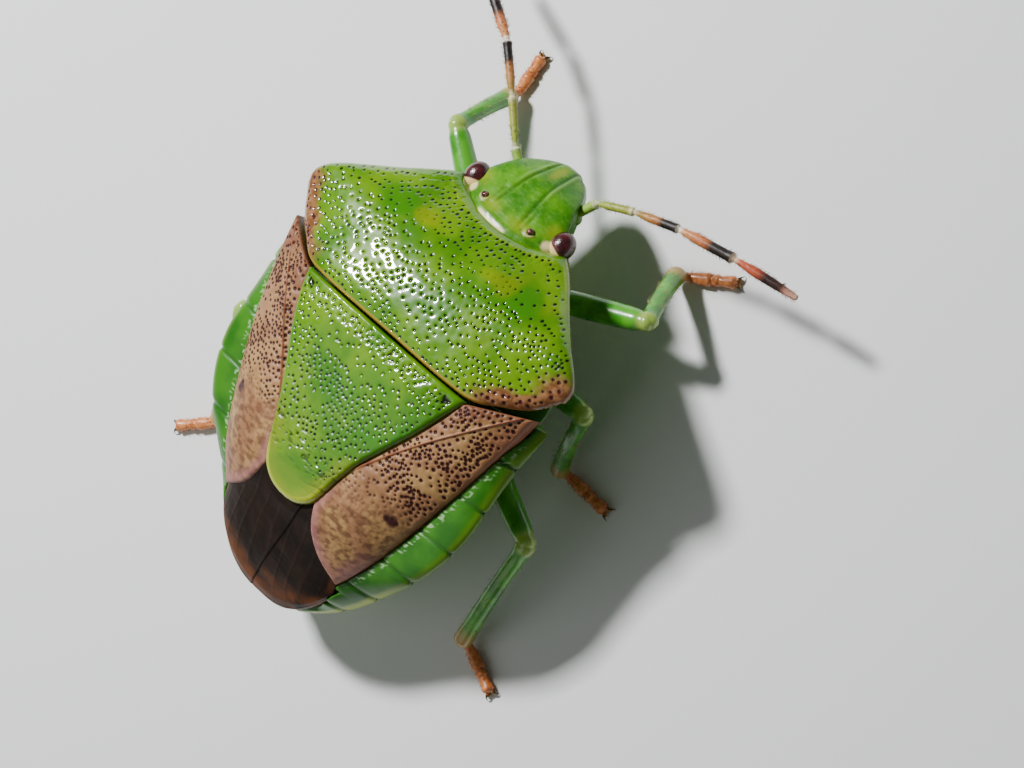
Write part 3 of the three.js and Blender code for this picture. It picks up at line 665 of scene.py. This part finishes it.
def scutellum():
    deepest = 0.024

    def outline(u, v):
        s = np.sin(u * np.pi / 2) ** 0.85
        x = mix(SHIELD_BASE_X - 0.03, SHIELD_TIP_X, s)
        return x, v * (shield_width(x) + 0.03)

    def inside(x, y):
        return abs(y) < shield_width(x) - 0.07 and x < 0.6

    def spacing(x):
        return 0.098 + 0.012 * max(0.0, -1.6 - x)

    pits = scatter(inside, (-2.8, -1.95), (0.66, 1.95), spacing, seed=9)

    def shape(u, t):
        v = mix(-1, 1, t)
        x, y = outline(u, v)
        border = border_of(outline, 500, (-1, 1), (1,))
        raised = SHIELD_STEP * np.minimum(1, (SHIELD_BASE_X - x) / 0.4)
        z, away = rolled(x, y, back(x, y) + raised, border, radius=0.12, depth=0.1)
        d, own = punctured(x, y, pits)
        size = mix(0.7, 1.05, own)
        tip = step(-1.6, -2.3, x + 0.4 * wavy(x, y, 1.6, 3.0) - 0.15 * y)
        soft = step(0.0, 0.05, away) * (1 - tip)
        z = z - soft * (0.01 * bump(d, 0.055) + deepest * bump(d, 0.025 * size))
        basal = bump(x - BASAL_PIT_AT[0], 0.07) * bump(np.abs(y) - BASAL_PIT_AT[1], 0.09)
        z = z + 0.006 * wavy(x, y, 2.2, 7.0) - 0.05 * basal
        wrinkle = step(0.0, 0.35, wavy(x * 2.6, y * 0.8, 6, 2.0)) * bump(x + 1.9 - 0.2 * y, 0.45)
        z = z - 0.012 * wrinkle
        rim_band = step(0.14, 0.07, away) * step(-1.8, -2.5, x)
        yellow = step(0.4, 0.1, away + 0.12 * wavy(x, y, 3, 2.0)) * step(-1.0, -1.8, x)
        marks = {
            "pit": np.maximum(soft * step(0.041, 0.016, d / size), np.maximum(basal, 0.58 * wrinkle)),
            "margin": np.maximum(rim_band, 0.28 * tip * step(-1.9, -2.4, x)),
            "olive": clamp(yellow * 0.8 + 0.25 * step(0.1, 0.6, wavy(x, y, 1.4, 6.0))),
            "deep": step(0.0, 0.7, wavy(x, y, 0.9, 8.0) + 0.25) * (1 - tip),
        }
        return x, y, z, marks

    bm = walled(skin(270, 200, shape), depth=0.3)
    finish_piece("scutellum_shield", bm, SHIELD, "shield_green", "scutellum")


# Forewings
WING_FRONT = {"inner": 0.66, "outer": 1.15}
WING_BACK = {"inner": -2.47, "outer": -3.58}
WING_APEX = 0.3
SPOT_AT = (-1.84, 1.96)
MEMBRANE_VEINS = 9


def apex(t):
    return WING_APEX * np.sin(np.pi * t ** 0.6)


def corium(side_name, side):
    tuck = 0.1
    deepest = 0.022

    def outline(u, t):
        x_in = mix(WING_FRONT["inner"], WING_BACK["inner"], u)
        x_out = mix(WING_FRONT["outer"], WING_BACK["outer"], u)
        x = mix(x_in, x_out, t) - u ** 8 * apex(t)
        return x, side * mix(shield_width(x_in) + GAP - tuck, wing_outer(x_out), t)

    def inside(x, y):
        on_wing = shield_width(x) + 0.1 < y * side < wing_outer(x) - 0.06
        return on_wing and x > WING_BACK["outer"] + 0.1

    def spacing(x):
        return 0.074 if x > -1.2 else 0.074 + 0.02 * (-1.2 - x)

    low, high = (-3.4, 0.4), (1.15, 2.9)
    if side < 0:
        low, high = (low[0], -high[1]), (high[0], -low[1])
    pits = scatter(inside, low, high, spacing, seed=21 + side, stretch=1.1)

    def shape(u, t):
        x, y = outline(u, t)
        border = border_of(outline, 400, (0, 1), (0, 1))
        z, away = rolled(x, y, back(x, y), border, radius=0.07, depth=0.08)
        z = z - 0.05 * step(0.25, 0.0, t)
        d, own = punctured(x, y, pits)
        size = mix(0.8, 1.25, own)
        side_y = np.abs(y)
        vein = bump(side_y - clavus(x), 0.022) * step(-1.75, -1.55, x)
        costa = step(0.05, 0.01, away) * step(0.9, 0.97, t)
        clouded = step(-1.0, -2.3, x + 0.4 * wavy(x, y, 2, 4.0))
        soft = step(0.0, 0.04, away) * (1 - 0.75 * clouded) * (1 - vein)
        z = z + 0.03 * vein + 0.012 * costa
        z = z - soft * (0.01 * bump(d, 0.06) + deepest * bump(d, 0.028 * size))
        clavus_near = step(0.3, 0.0, np.abs(side_y - clavus(x)))
        from_spot = np.hypot(x - SPOT_AT[0], (side_y - SPOT_AT[1]) * 1.1)
        marks = {
            "pit": soft * step(0.045, 0.018, d / size) * mix(1, 0.75, clouded),
            "dusk": step(-0.6, 0.9, x + 0.5 * wavy(x, y, 2.5, 7.0) - 0.5 * clavus_near),
            "vein": clamp(0.8 * vein + 0.4 * costa),
            "cloud": clouded,
            "pink": step(0.3, 0.05, away + 0.06 * wavy(x, y, 6, 3.0)) * step(0.75, 0.95, u),
            "pale": step(0.0, 0.6, wavy(x, y, 1.8, 2.0 + side) + 0.2),
            "spot": step(0.16, 0.06, from_spot + 0.06 * wavy(x, y, 9, 1.0)),
        }
        return x, y, z, marks

    bm = walled(skin(260, 95, shape), depth=0.24)
    finish_piece(f"wing_cover_{side_name}", bm, WING, "wing_brown", f"corium_{side_name}")


def membrane(side_name, side):
    lift = 0.03 if side > 0 else 0.0
    shield_end_y = 0.72

    def shape(u, t):
        near = -0.3 + 0.45 * u
        v = mix(near, side, t)
        y_abs = np.abs(v) * MEMBRANE_Y
        round_front = SHIELD_TIP_X + 0.5 * np.minimum(1, y_abs / shield_end_y) ** 2.6
        share = clamp((y_abs - shield_end_y) / (MEMBRANE_Y - shield_end_y))
        wing_front = mix(WING_BACK["inner"], WING_BACK["outer"], share) - apex(share)
        front = np.minimum(round_front, wing_front) + 0.08
        rear = WING_TIP_X + MEMBRANE_ROUND * np.abs(v) ** MEMBRANE_POWER
        x, y = mix(front, rear, u), v * MEMBRANE_Y
        fan = v * np.pi * MEMBRANE_VEINS + 2.2 * wavy(x, y, 1.1, 3.0)
        vein = (0.5 + 0.5 * np.cos(fan)) ** 10 * step(0.02, 0.2, u) * step(1.0, 0.75, u)
        rim = np.maximum(step(0.72, 1.0, u + 0.1 * wavy(x, y, 4, 2.0)), step(0.9, 1.0, t))
        z = back(x, y) - 0.1 + lift + 0.005 * vein - 0.06 * step(0.93, 1.0, u) - 0.03 * step(0.96, 1.0, t)
        z = z + 0.008 * wavy(x, y, 5, 3.0) - 0.05 * step(0.12, 0.0, u)
        return x, y, z, {"vein": vein, "margin": rim}

    bm = walled(skin(90, 110, shape), depth=0.16)
    finish_piece(f"wing_end_{side_name}", bm, MEMBRANE, "wing_membrane", f"membrane_{side_name}")


# Underparts
SEGMENT_BORDERS = (0.2, -0.75, -1.7, -2.6, -3.4, -4.05)


def notch(x, depth, width=0.05):
    return sum(depth * bump(x - border, width) for border in SEGMENT_BORDERS)


def membrane_outer(x):
    return MEMBRANE_Y * (np.maximum(0, x - WING_TIP_X) / MEMBRANE_ROUND) ** (1 / MEMBRANE_POWER)


def abdomen():
    def shape(u, t):
        share, upper = turned(t, 0.8)
        aside = share * abdomen_width(WAIST_X)
        x = mix(waist_x(aside), ABDOMEN_TIP_X, np.sin(u * np.pi / 2) ** 1.1)
        width = abdomen_width(x) - notch(x, 0.035)
        y = share * width
        covered = np.where(x > WING_BACK["outer"] - 0.1, wing_outer(x), membrane_outer(x))
        outside = np.abs(y) - covered
        under_wing = step(0.02, -0.06, outside)
        bare = step(0.12, 0.3, width - covered)
        rim_share = clamp(outside / np.maximum(0.1, width - covered))
        rim = mix(back(x, covered) - 0.1, rim_top(x), rim_share ** 1.5)
        low = belly(x, share)
        sunk = np.minimum(lining(x, y) - GAP - 0.03, np.maximum(rim_top(x), low + 0.22))
        top = mix(mix(sunk, rim, bare), sunk, under_wing)
        middle = (np.minimum(rim_top(x), mix(sunk, rim, bare)) + belly(x, 1)) / 2
        z = mix(middle, np.where(upper, top, low), roll_in(share, 24))
        end = step(0.97, 1.0, u)
        z = mix(z, 1.6, end * 0.35)
        groove = notch(x, 1.0, 0.035) * step(0.02, 0.1, np.abs(share))
        z = z + np.where(upper, -0.03, 0.025) * groove * (1 - under_wing)
        lower = np.where(upper, 0.0, 1.0)
        z = z - 0.035 * lower * bump(share, 0.06) * step(-4.3, -3.6, x)
        # A row of whitish dashes beside the wing: painted glints
        painted_glint_row = bump(outside - 0.1 - 0.05 * wavy(x, y, 4, 2.0), 0.08)
        painted_glint_dash = painted_glint_row * step(-0.1, 0.3, wavy(x * 2.2, y, 13, 4.0) + 0.25 * wavy(x, y, 22, 1.0))
        middles = [border + 0.45 for border in SEGMENT_BORDERS[:-1]]
        hole = sum(bump(np.hypot(x - at, (np.abs(share) - 0.74) * 2.6), 0.055) for at in middles)
        z = z + lower * 0.03 * clamp(hole)
        rounded = step(0.94, 0.985, np.abs(share))
        marks = {
            "margin": rounded * (1 - 0.8 * clamp(groove)) * (0.3 + 0.5 * step(-2.6, -3.6, x)),
            "painted_glint_dash": painted_glint_dash * (1 - lower) * step(-3.8, -3.2, x) * step(0.9, 0.5, x),
            "groove": clamp(groove),
            "hole": clamp(lower * hole),
            "under": lower * step(0.95, 0.6, np.abs(share)),
        }
        return x, y, z, marks

    bm = joined(sealed(skin(210, 220, shape)), *[coxa("hind", side) for side in SIDES.values()])
    finish_piece("abdomen_body", bm, BODY, "body_green", "abdomen")


HIPS = {"fore": (2.5, 0.72), "mid": (1.35, 0.85), "hind": (0.1, 0.95)}
THORAX_SEAMS = (1.55, 2.35)
SCENT_AT = (1.35, 0.55)


def ball(centre, radii, detail, marks):
    """A rounded knob."""
    bm = bmesh.new()
    bmesh.ops.create_uvsphere(bm, u_segments=detail, v_segments=detail * 2 // 3, radius=1)
    for name, value in marks.items():
        layer = bm.verts.layers.float.new(name)
        for vert in bm.verts:
            vert[layer] = value
    bmesh.ops.transform(bm, matrix=Matrix.Translation(centre) @ Matrix.Diagonal((*radii, 1)), verts=bm.verts)
    return bm


def coxa(which, side):
    x, y = HIPS[which]
    return ball((x, side * y, float(keel(x)) + 0.04), (0.33, 0.36, 0.24), 28, {"under": 0.6})


def thorax():
    width = Curve((0, 1.1), (0.16, 1.42), (0.35, 1.95), (0.55, 2.5), (0.7, 2.8), (0.85, 2.95), (1, 2.95))

    def shape(u, t):
        share, upper = turned(t, 0.8)
        y = share * width(u)
        x = mix(collar_x(share * 1.1), waist_x(y) + 0.04, u)
        top = lining(x, y) - GAP
        low = np.minimum(belly(x, share), top - 0.25)
        middle = (top + low) / 2
        z = mix(middle, np.where(upper, top, low), roll_in(share, 16))
        lower = np.where(upper, 0.0, 1.0)
        seams = sum(bump(x - at - 0.12 * np.abs(y), 0.035) for at in THORAX_SEAMS)
        scent = bump(x - SCENT_AT[0], 0.05) * bump(np.abs(share) - SCENT_AT[1], 0.13)
        pits = step(0.1, 0.6, wavy(x, y, 9, 5.0)) * step(0.35, 0.5, np.abs(share))
        z = z + lower * (0.03 * clamp(seams) + 0.04 * scent + 0.012 * pits)
        marks = {
            "groove": clamp(lower * seams),
            "hole": clamp(lower * scent),
            "under": lower * 0.8,
        }
        return x, y, z, marks

    hips = [coxa(which, side) for side in SIDES.values() for which in ("fore", "mid")]
    bm = joined(sealed(skin(130, 170, shape)), *hips)
    finish_piece("thorax_body", bm, BODY, "body_green", "thorax")


# Head
head_top = Curve(
    (3.2, 2.88), (3.5, 2.76), (3.9, 2.55), (4.2, 2.36), (4.45, 2.05), (4.58, 1.87), (HEAD_TIP_X, 1.75),
)
head_side = Curve(
    (3.2, 2.6), (3.6, 2.5), (3.9, 2.4), (4.2, 2.24), (4.45, 1.9), (4.58, 1.73), (HEAD_TIP_X, 1.66),
)
head_low = Curve((3.0, 1.62), (3.6, 1.5), (4.2, 1.42), (4.5, 1.43), (HEAD_TIP_X, 1.5))
head_width = Curve(
    (3.2, 0.98), (3.5, 1.04), (3.75, 1.03), (3.9, 0.97), (4.05, 0.88), (4.2, 0.79), (4.35, 0.69),
    (4.48, 0.54), (4.58, 0.37), (HEAD_TIP_X, 0.16),
)
HEAD_RIM = 0.12
EYE_AT, EYE_R = (3.6, 1.075, 2.39), (0.28, 0.23, 0.24)
OCELLUS_AT, OCELLUS_R = (3.49, 0.57), 0.07
FEELER_ROOT = (4.02, 0.62, 1.86)
CREAM_CORNER_AT = (3.46, 0.94)


def head():
    def shape(u, t):
        share, upper = turned(t, 0.75)
        x = mix(collar_x(share) - 0.02, HEAD_TIP_X, np.sin(u * np.pi / 2))
        width = head_width(x) * (1 - step(0.985, 1.0, u))
        y = share * width
        middle = head_side(x) - HEAD_RIM / 2
        over = mix(head_top(x), head_side(x), np.abs(share) ** 2.5)
        beneath = mix(head_low(x), head_side(x) - HEAD_RIM, np.abs(share) ** 5)
        z = mix(middle, np.where(upper, over, beneath), roll_in(share, 16))
        side_y = np.abs(y)
        tylus_y = mix(0.36, 0.17, clamp((x - 3.3) / 1.35))
        ahead = step(3.35, 3.6, x)
        groove = bump(side_y - tylus_y, 0.03) * ahead
        ridge = bump(side_y - tylus_y - 0.07, 0.035) * step(3.9, 4.2, x)
        brow = bump(side_y - 0.42, 0.03) * step(3.9, 3.75, x) * step(3.35, 3.5, x)
        ring = bump(np.hypot(x - OCELLUS_AT[0], side_y - OCELLUS_AT[1]) - OCELLUS_R - 0.01, 0.025)
        ring = ring * step(-0.03, 0.05, OCELLUS_AT[0] - x)
        corner = step(0.14, 0.06, np.hypot(x - CREAM_CORNER_AT[0], (side_y - CREAM_CORNER_AT[1]) * 0.9))
        lines = wavy(x * 4, y, 4, 1.0)
        # A thin cream line along the hind border, off centre: a painted highlight
        painted_highlight_lip = step(0.04, 0.015, u) * step(0.42, 0.28, np.abs(share - 0.12))
        on_top = np.where(upper, 1.0, 0.0)
        fine = 0.004 * lines + 0.012 * wavy(x, y, 6, 3.0)
        z = z + on_top * (0.02 * ridge - 0.03 * groove + 0.03 * ring + fine + 0.02 * bump(u - 0.045, 0.03))
        z = z - on_top * 0.012 * brow
        nose = np.where(upper, 0.0, 1.0) * 0.05 * bump(side_y - 0.28, 0.05) * step(3.5, 3.8, x)
        olive = bump(x - 4.5, 0.16) * bump(y, 0.1) + 0.7 * bump(np.hypot(x - 3.72, side_y - 0.86), 0.16)
        olive = olive + 0.7 * bump(x - 3.45, 0.14) * bump(side_y - 0.35, 0.3)
        marks = {
            "groove": on_top * clamp(groove + 0.8 * brow) * 0.8,
            "ridge": on_top * ridge,
            "cream": on_top * clamp(painted_highlight_lip + 0.6 * ring + 0.8 * corner),
            "olive": on_top * clamp(olive),
            "pit": on_top * step(0.3, 0.6, wavy(x * 1.3, y, 8, 12.0)) * 0.6,
        }
        return x, y, z + nose, marks

    bm = sealed(skin(190, 220, shape))
    for side in SIDES.values():
        root = [(3.85, side * 0.5, 1.85), (3.97, side * 0.6, 1.87), (4.07, side * 0.68, 1.89)]
        bm = joined(bm, limb(root, lambda s: 0.2 - 0.03 * s, {"olive": steady(0.3)}, rows=12, columns=24))
    finish_piece("head_shell", bm, HEAD, "head_green", "head")


def eye(side_name, side):
    def shape(u, t):
        polar, turn = u * np.pi, t * 2 * np.pi
        nx, ny, nz = np.sin(polar) * np.cos(turn), np.sin(polar) * np.sin(turn), np.cos(polar)
        x = EYE_AT[0] + EYE_R[0] * nx * np.where(nx < 0, 0.9, 1.0)
        y = side * (EYE_AT[1] + EYE_R[1] * ny)
        z = EYE_AT[2] + EYE_R[2] * nz
        band = step(-0.3, -0.42, ny * 0.3 + nx * 0.85 - nz * 0.1)
        return x, y, z, {"cream": band}

    bm = sealed(skin(64, 96, shape))
    finish_piece(f"eye_ball_{side_name}", bm, EYE, "eye_red", f"eye_{side_name}")


def ocelli():
    x, y = OCELLUS_AT
    z = float(head_top(x)) - 0.05
    knobs = [ball((x, side * y, z), [OCELLUS_R] * 3, 24, {}) for side in SIDES.values()]
    finish_piece("ocelli", joined(*knobs), OCELLUS, "eye_red")


# Limbs
def steady(value):
    """The same value all along a limb."""
    return lambda s: value + 0 * s


def weigh(a, b, start, end, t):
    """a at start, b at end."""
    return a * ((end - t) / (end - start)) + b * ((t - start) / (end - start))


def path_points(points, count):
    """A smooth way through a few points, as a centripetal spline."""
    p = [Vector(q) for q in points]
    p = [p[0] * 2 - p[1], *p, p[-1] * 2 - p[-2]]
    knots = [0.0]
    for a, b in zip(p, p[1:]):
        knots.append(knots[-1] + max(1e-6, (b - a).length ** 0.5))
    lengths = [0.0]
    for a, b in zip(p[1:-1], p[2:-1]):
        lengths.append(lengths[-1] + (b - a).length)
    places = []
    for k in range(count):
        want = lengths[-1] * k / (count - 1)
        i = max(j for j in range(len(lengths) - 1) if lengths[j] <= want + 1e-9)
        share = (want - lengths[i]) / (lengths[i + 1] - lengths[i])
        t = knots[i + 1] + share * (knots[i + 2] - knots[i + 1])
        k4, q4 = knots[i:i + 4], p[i:i + 4]
        first = [weigh(q4[j], q4[j + 1], k4[j], k4[j + 1], t) for j in range(3)]
        second = [weigh(first[j], first[j + 1], k4[j], k4[j + 2], t) for j in range(2)]
        places.append(weigh(*second, k4[1], k4[2], t))
    return np.array([list(q) for q in places])


END_ROWS = 5


def limb(points, radius, marks, rows, columns, flat=1.0, cap=0.8):
    """A closed round limb along a smooth way. radius and marks take the share along it."""
    line = path_points(points, rows + 1)
    along = np.gradient(line, axis=0)
    along /= np.linalg.norm(along, axis=1)[:, None]
    side = np.cross(along, (0, 0, 1.0))
    side /= np.linalg.norm(side, axis=1)[:, None]
    rise = np.cross(side, along)

    def shape(u, t):
        k = np.rint(u * (rows + 2 * END_ROWS)).astype(int) - END_ROWS
        inner = np.clip(k, 0, rows)
        share = inner / rows
        beyond = np.where(k < 0, -k, np.maximum(0, k - rows)) / END_ROWS
        r = radius(share)
        reach = r * cap * np.sin(beyond * np.pi / 2) * np.where(k < 0, -1, 1)
        ring = r * np.cos(beyond * np.pi / 2)
        angle = t * 2 * np.pi
        centre = line[inner] + along[inner] * reach[:, None]
        wide = side[inner] * (ring * np.cos(angle) * flat)[:, None]
        high = rise[inner] * (ring * np.sin(angle))[:, None]
        return *(centre + wide + high).T, {name: rule(share) for name, rule in marks.items()}

    return sealed(skin(rows + 2 * END_ROWS, columns, shape))


HAIR_PLACES = 200
HAIR_RADII = {"radius1": 0.006, "radius2": 0.0008}


def hairs(points, radius, marks, count, length, seed, first=0.0):
    """Short fine hairs over a limb, leaning towards its end."""
    rng = random.Random(seed)
    line = path_points(points, HAIR_PLACES)
    bm = bmesh.new()
    layers = {name: bm.verts.layers.float.new(name) for name in marks}
    for _ in range(count):
        share = rng.uniform(first, 1)
        i = min(HAIR_PLACES - 2, int(share * (HAIR_PLACES - 2)))
        along = Vector(line[i + 1] - line[i]).normalized()
        side = along.cross(Vector((0, 0, 1))).normalized()
        rise = side.cross(along)
        turn = rng.uniform(0, 2 * math.pi)
        out = side * math.cos(turn) + rise * math.sin(turn)
        lean = (out + along * rng.uniform(0.5, 1.1)).normalized()
        r = float(radius(np.array([share]))[0])
        base = Vector(line[i]) + out * r * 0.9
        size = length * rng.uniform(0.6, 1.2)
        place = Matrix.Translation(base + lean * size / 2) @ lean.to_track_quat("Z", "Y").to_matrix().to_4x4()
        made = bmesh.ops.create_cone(
            bm, segments=3, depth=size, cap_ends=True, matrix=place, **HAIR_RADII,
        )["verts"]
        for name, rule in marks.items():
            for vert in made:
                vert[layers[name]] = float(rule(np.array([share]))[0])
    return bm


# For each leg: its hip, its side, and the places of its knee, ankle and toe
LEGS = {
    "fore_right": ("fore", -1, (3.41, -2.85, 1.55), (4.22, -2.24, 0.34), (4.72, -3.1)),
    "mid_right": ("mid", -1, (1.46, -2.95, 1.6), (0.16, -2.66, 0.34), (0.1, -3.68)),
    "hind_right": ("hind", -1, (-0.94, -3.55, 1.62), (-3.38, -3.12, 0.34), (-3.78, -3.98)),
    "fore_left": ("fore", 1, (3.95, 2.48, 1.5), (4.82, 2.55, 0.34), (5.62, 2.6)),
    "mid_left": ("mid", 1, (1.7, 2.9, 1.55), (1.0, 3.0, 0.34), (0.85, 3.9)),
    "hind_left": ("hind", 1, (-1.2, 3.8, 1.62), (-3.45, 3.55, 0.34), (-4.1, 4.3)),
}


def between(a, b, t, lift=0.0):
    place = Vector(a).lerp(Vector(b), t)
    place.z += lift
    return tuple(place)


def leg(name, hip, side, knee, ankle, toe):
    hip_x, hip_y = HIPS[hip]
    root = (hip_x, side * hip_y, float(keel(hip_x)) + 0.05)
    thigh = [root, between(root, knee, 0.5, 0.0 if hip == "fore" else 0.12), knee]

    def femur_radius(s):
        return 0.17 + 0.06 * np.sin(np.pi * clamp(0.12 + 0.8 * s)) - 0.03 * bump(s - 0.97, 0.04)

    # knee: paler at the femur's end, a painted highlight
    shades = {"knee": lambda s: step(0.9, 0.99, s), "foot": steady(0)}
    femur = limb(thigh, femur_radius, shades, rows=60, columns=28)
    femur = joined(femur, hairs(thigh, femur_radius, {"foot": steady(0.6)}, count=60, length=0.07, seed=3))
    finish_piece(f"thigh_{name}", femur, LEG, "leg_green", f"femur_{name}")

    shin = [between(knee, ankle, 0.02), between(knee, ankle, 0.5, 0.05), between(knee, ankle, 0.985)]

    def tibia_radius(s):
        return 0.15 + 0.03 * bump(s - 0.02, 0.06) - 0.012 * bump(s - 0.3, 0.3) + 0.02 * bump(s - 1, 0.12)

    # knee: paler at the tibia's start, a painted highlight
    shades = {"knee": lambda s: step(0.07, 0.0, s), "foot": lambda s: step(0.78, 1.0, s) * 0.85}
    tibia = limb(shin, tibia_radius, shades, rows=60, columns=28, flat=1.1)
    coat = hairs(shin, tibia_radius, {"foot": steady(0.8)}, count=150, length=0.1, seed=5, first=0.15)
    tibia = joined(tibia, coat)
    finish_piece(f"shin_{name}", tibia, LEG, "leg_green", f"tibia_{name}")

    foot(name, ankle, toe)


def foot(name, ankle, toe):
    """Three joints, two pads and two claws, flat on the floor."""
    start = Vector((ankle[0], ankle[1], ankle[2] - 0.02))
    end = Vector((toe[0], toe[1], 0.11))
    heel = start.lerp(end, 0.16)
    heel.z = FOOT_AXIS_Z
    ahead = (end - heel).normalized()
    across = ahead.cross(Vector((0, 0, 1))).normalized()
    length = (end - heel).length + 0.12
    shades = {"green": steady(0), "dark": steady(0)}
    spans = ((0.0, 0.42, 0.125), (0.42, 0.6, 0.11), (0.6, 0.9, 0.12))
    parts = []
    for first, last, r in spans:
        a, b = heel + ahead * length * (first + 0.02), heel + ahead * length * (last - 0.02)
        points = [a, (a + b) / 2 - Vector((0, 0, 0.006)), b]
        parts.append(limb(points, lambda s, r=r: r * (0.72 + 0.3 * s), shades, rows=16, columns=20, cap=0.6))
        seed = int(first * 100) + 7
        parts.append(hairs(points, steady(r * 0.85), shades, count=40, length=0.08, seed=seed))
    ankle_line = [start, start.lerp(heel, 0.6), heel]
    parts.append(limb(ankle_line, steady(0.085), shades, rows=8, columns=16))
    tip = heel + ahead * length * 0.9
    for turn in (-1, 1):
        out = ahead * 0.12 + across * 0.11 * turn
        claw = [tip, tip + out * 0.7 + Vector((0, 0, 0.02)), tip + out * 1.25 - Vector((0, 0, 0.075))]
        dark_end = {"dark": lambda s: step(0.1, 0.6, s)}
        parts.append(limb(claw, lambda s: 0.034 * (1 - 0.85 * s), dark_end, rows=12, columns=12))
        pad = tip + out * 0.55 - Vector((0, 0, 0.045))
        parts.append(ball(pad, (0.05, 0.05, 0.028), 14, {"green": 0.4}))
    bm = joined(*parts)
    for vert in bm.verts:
        vert.co.z = max(vert.co.z, 0.0)
    finish_piece(f"foot_{name}", bm, FOOT, "foot_brown", f"tarsus_{name}")


FEELERS = {
    "right": (
        (4.52, -0.92, 1.95), (4.82, -1.62, 1.98), (5.08, -2.5, 1.98), (5.27, -3.62, 1.9), (5.4, -4.88, 1.7),
    ),
    "left": ((4.36, 1.02, 1.95), (5.04, 1.66, 1.98), (5.76, 2.4, 1.98), (6.24, 3.24, 1.9), (6.66, 4.4, 1.7)),
}
FEELER_RADII = (0.085, 0.07, 0.075, 0.09, 0.085)
FEELER_HAIRS = (30, 90, 150, 240, 260)


def feeler(side_name, side):
    root = Vector((FEELER_ROOT[0], side * FEELER_ROOT[1], FEELER_ROOT[2]))
    points = [root, *map(Vector, FEELERS[side_name])]
    parts = []
    for i, r in enumerate(FEELER_RADII):
        a, b = points[i], points[i + 1]
        line = [a.lerp(b, 0.01), a.lerp(b, 0.5), a.lerp(b, 0.985)]

        def radius(s, r=r, last=i == 4):
            narrow = r * (0.62 + 0.42 * step(0, 0.35, s))
            taper = 0.45 * s ** 4 if last else -0.12 * bump(s - 0.95, 0.06) + 0.35 * step(0.965, 1.0, s)
            return narrow - r * taper

        shades = {"along": lambda s, i=i: (i + s) / 5}
        parts.append(limb(line, radius, shades, rows=60, columns=24, cap=0.6))
        parts.append(hairs(line, radius, shades, count=FEELER_HAIRS[i], length=0.075, seed=11 + i))
    bm = joined(*parts)
    finish_piece(f"feeler_{side_name}", bm, FEELER, "feeler_brown", f"antenna_{side_name}")


def beak():
    def height(x):
        return 1.02 + 0.2 * (x - 3.3) if x > 3.3 else float(keel(x)) - 0.14

    points = [(x, 0, height(x)) for x in (4.2, 3.7, 3.1, 2.4, 1.6, 0.9)]

    def radius(s):
        joints = sum(bump(s - at, 0.012) for at in (0.28, 0.52, 0.76))
        return 0.15 * (1 - 0.45 * s) * (1 - 0.22 * joints)

    shades = {"green": lambda s: step(0.5, 0.1, s), "dark": lambda s: step(0.86, 0.98, s)}
    bm = limb(points, radius, shades, rows=120, columns=28)
    finish_piece("beak_tube", bm, FOOT, "foot_brown", "beak")


SHIELD = shield_finish()
WING = wing_finish()
MEMBRANE = membrane_finish()
BODY = body_finish()
HEAD = head_finish()
EYE = eye_finish()
OCELLUS = ocellus_finish()
FEELER = feeler_finish()
LEG = leg_finish()
FOOT = foot_finish()

pronotum()
scutellum()
abdomen()
thorax()
head()
ocelli()
beak()
for side_name, side in SIDES.items():
    corium(side_name, side)
    membrane(side_name, side)
    eye(side_name, side)
    feeler(side_name, side)
for name, parts in LEGS.items():
    leg(name, *parts)


# Floor, light and camera
FLOOR_SIZE = 0.6


def stage():
    bpy.ops.mesh.primitive_plane_add(size=FLOOR_SIZE, location=(0, 0, 0))
    floor = bpy.context.object
    floor.name = "floor"
    floor.data.materials.append(floor_finish())


BODY_MIDDLE = Vector((0, 0, 2))


def softbox(name, at, size, watts):
    lamp = bpy.data.lights.new(name, "AREA")
    lamp.size = size * MM
    lamp.energy = watts
    holder = bpy.data.objects.new(name, lamp)
    bpy.context.scene.collection.objects.link(holder)
    holder.location = INTO_ROW @ Vector(at)
    holder.rotation_mode = "QUATERNION"
    holder.rotation_quaternion = (BODY_MIDDLE - Vector(at)).to_track_quat("-Z", "Y")


def lights():
    softbox("key", at=(12, 33, 53), size=8, watts=0.08)
    softbox("fill", at=(-40, 10, 40), size=60, watts=0.008)
    world = bpy.data.worlds.new("studio")
    world.use_nodes = True
    background = world.node_tree.nodes["Background"].inputs
    background["Color"].default_value = (0.95, 1, 0.95, 1)
    background["Strength"].default_value = 0.1
    bpy.context.scene.world = world


def camera():
    lens = bpy.data.cameras.new("camera")
    lens.sensor_width = SENSOR_WIDTH
    lens.lens = FOCAL_PIXELS * SENSOR_WIDTH / IMAGE_WIDTH
    lens.clip_start = 0.001
    lens.clip_end = 10
    eye_point = bpy.data.objects.new("camera", lens)
    bpy.context.scene.collection.objects.link(eye_point)
    behind = CAMERA_RIGHT.cross(CAMERA_UP)
    turn = Matrix((CAMERA_RIGHT, CAMERA_UP, behind)).transposed()
    eye_point.matrix_world = Matrix.Translation(INTO_ROW @ CAMERA_AT) @ turn.to_4x4()
    bpy.context.scene.camera = eye_point


stage()
lights()
camera()
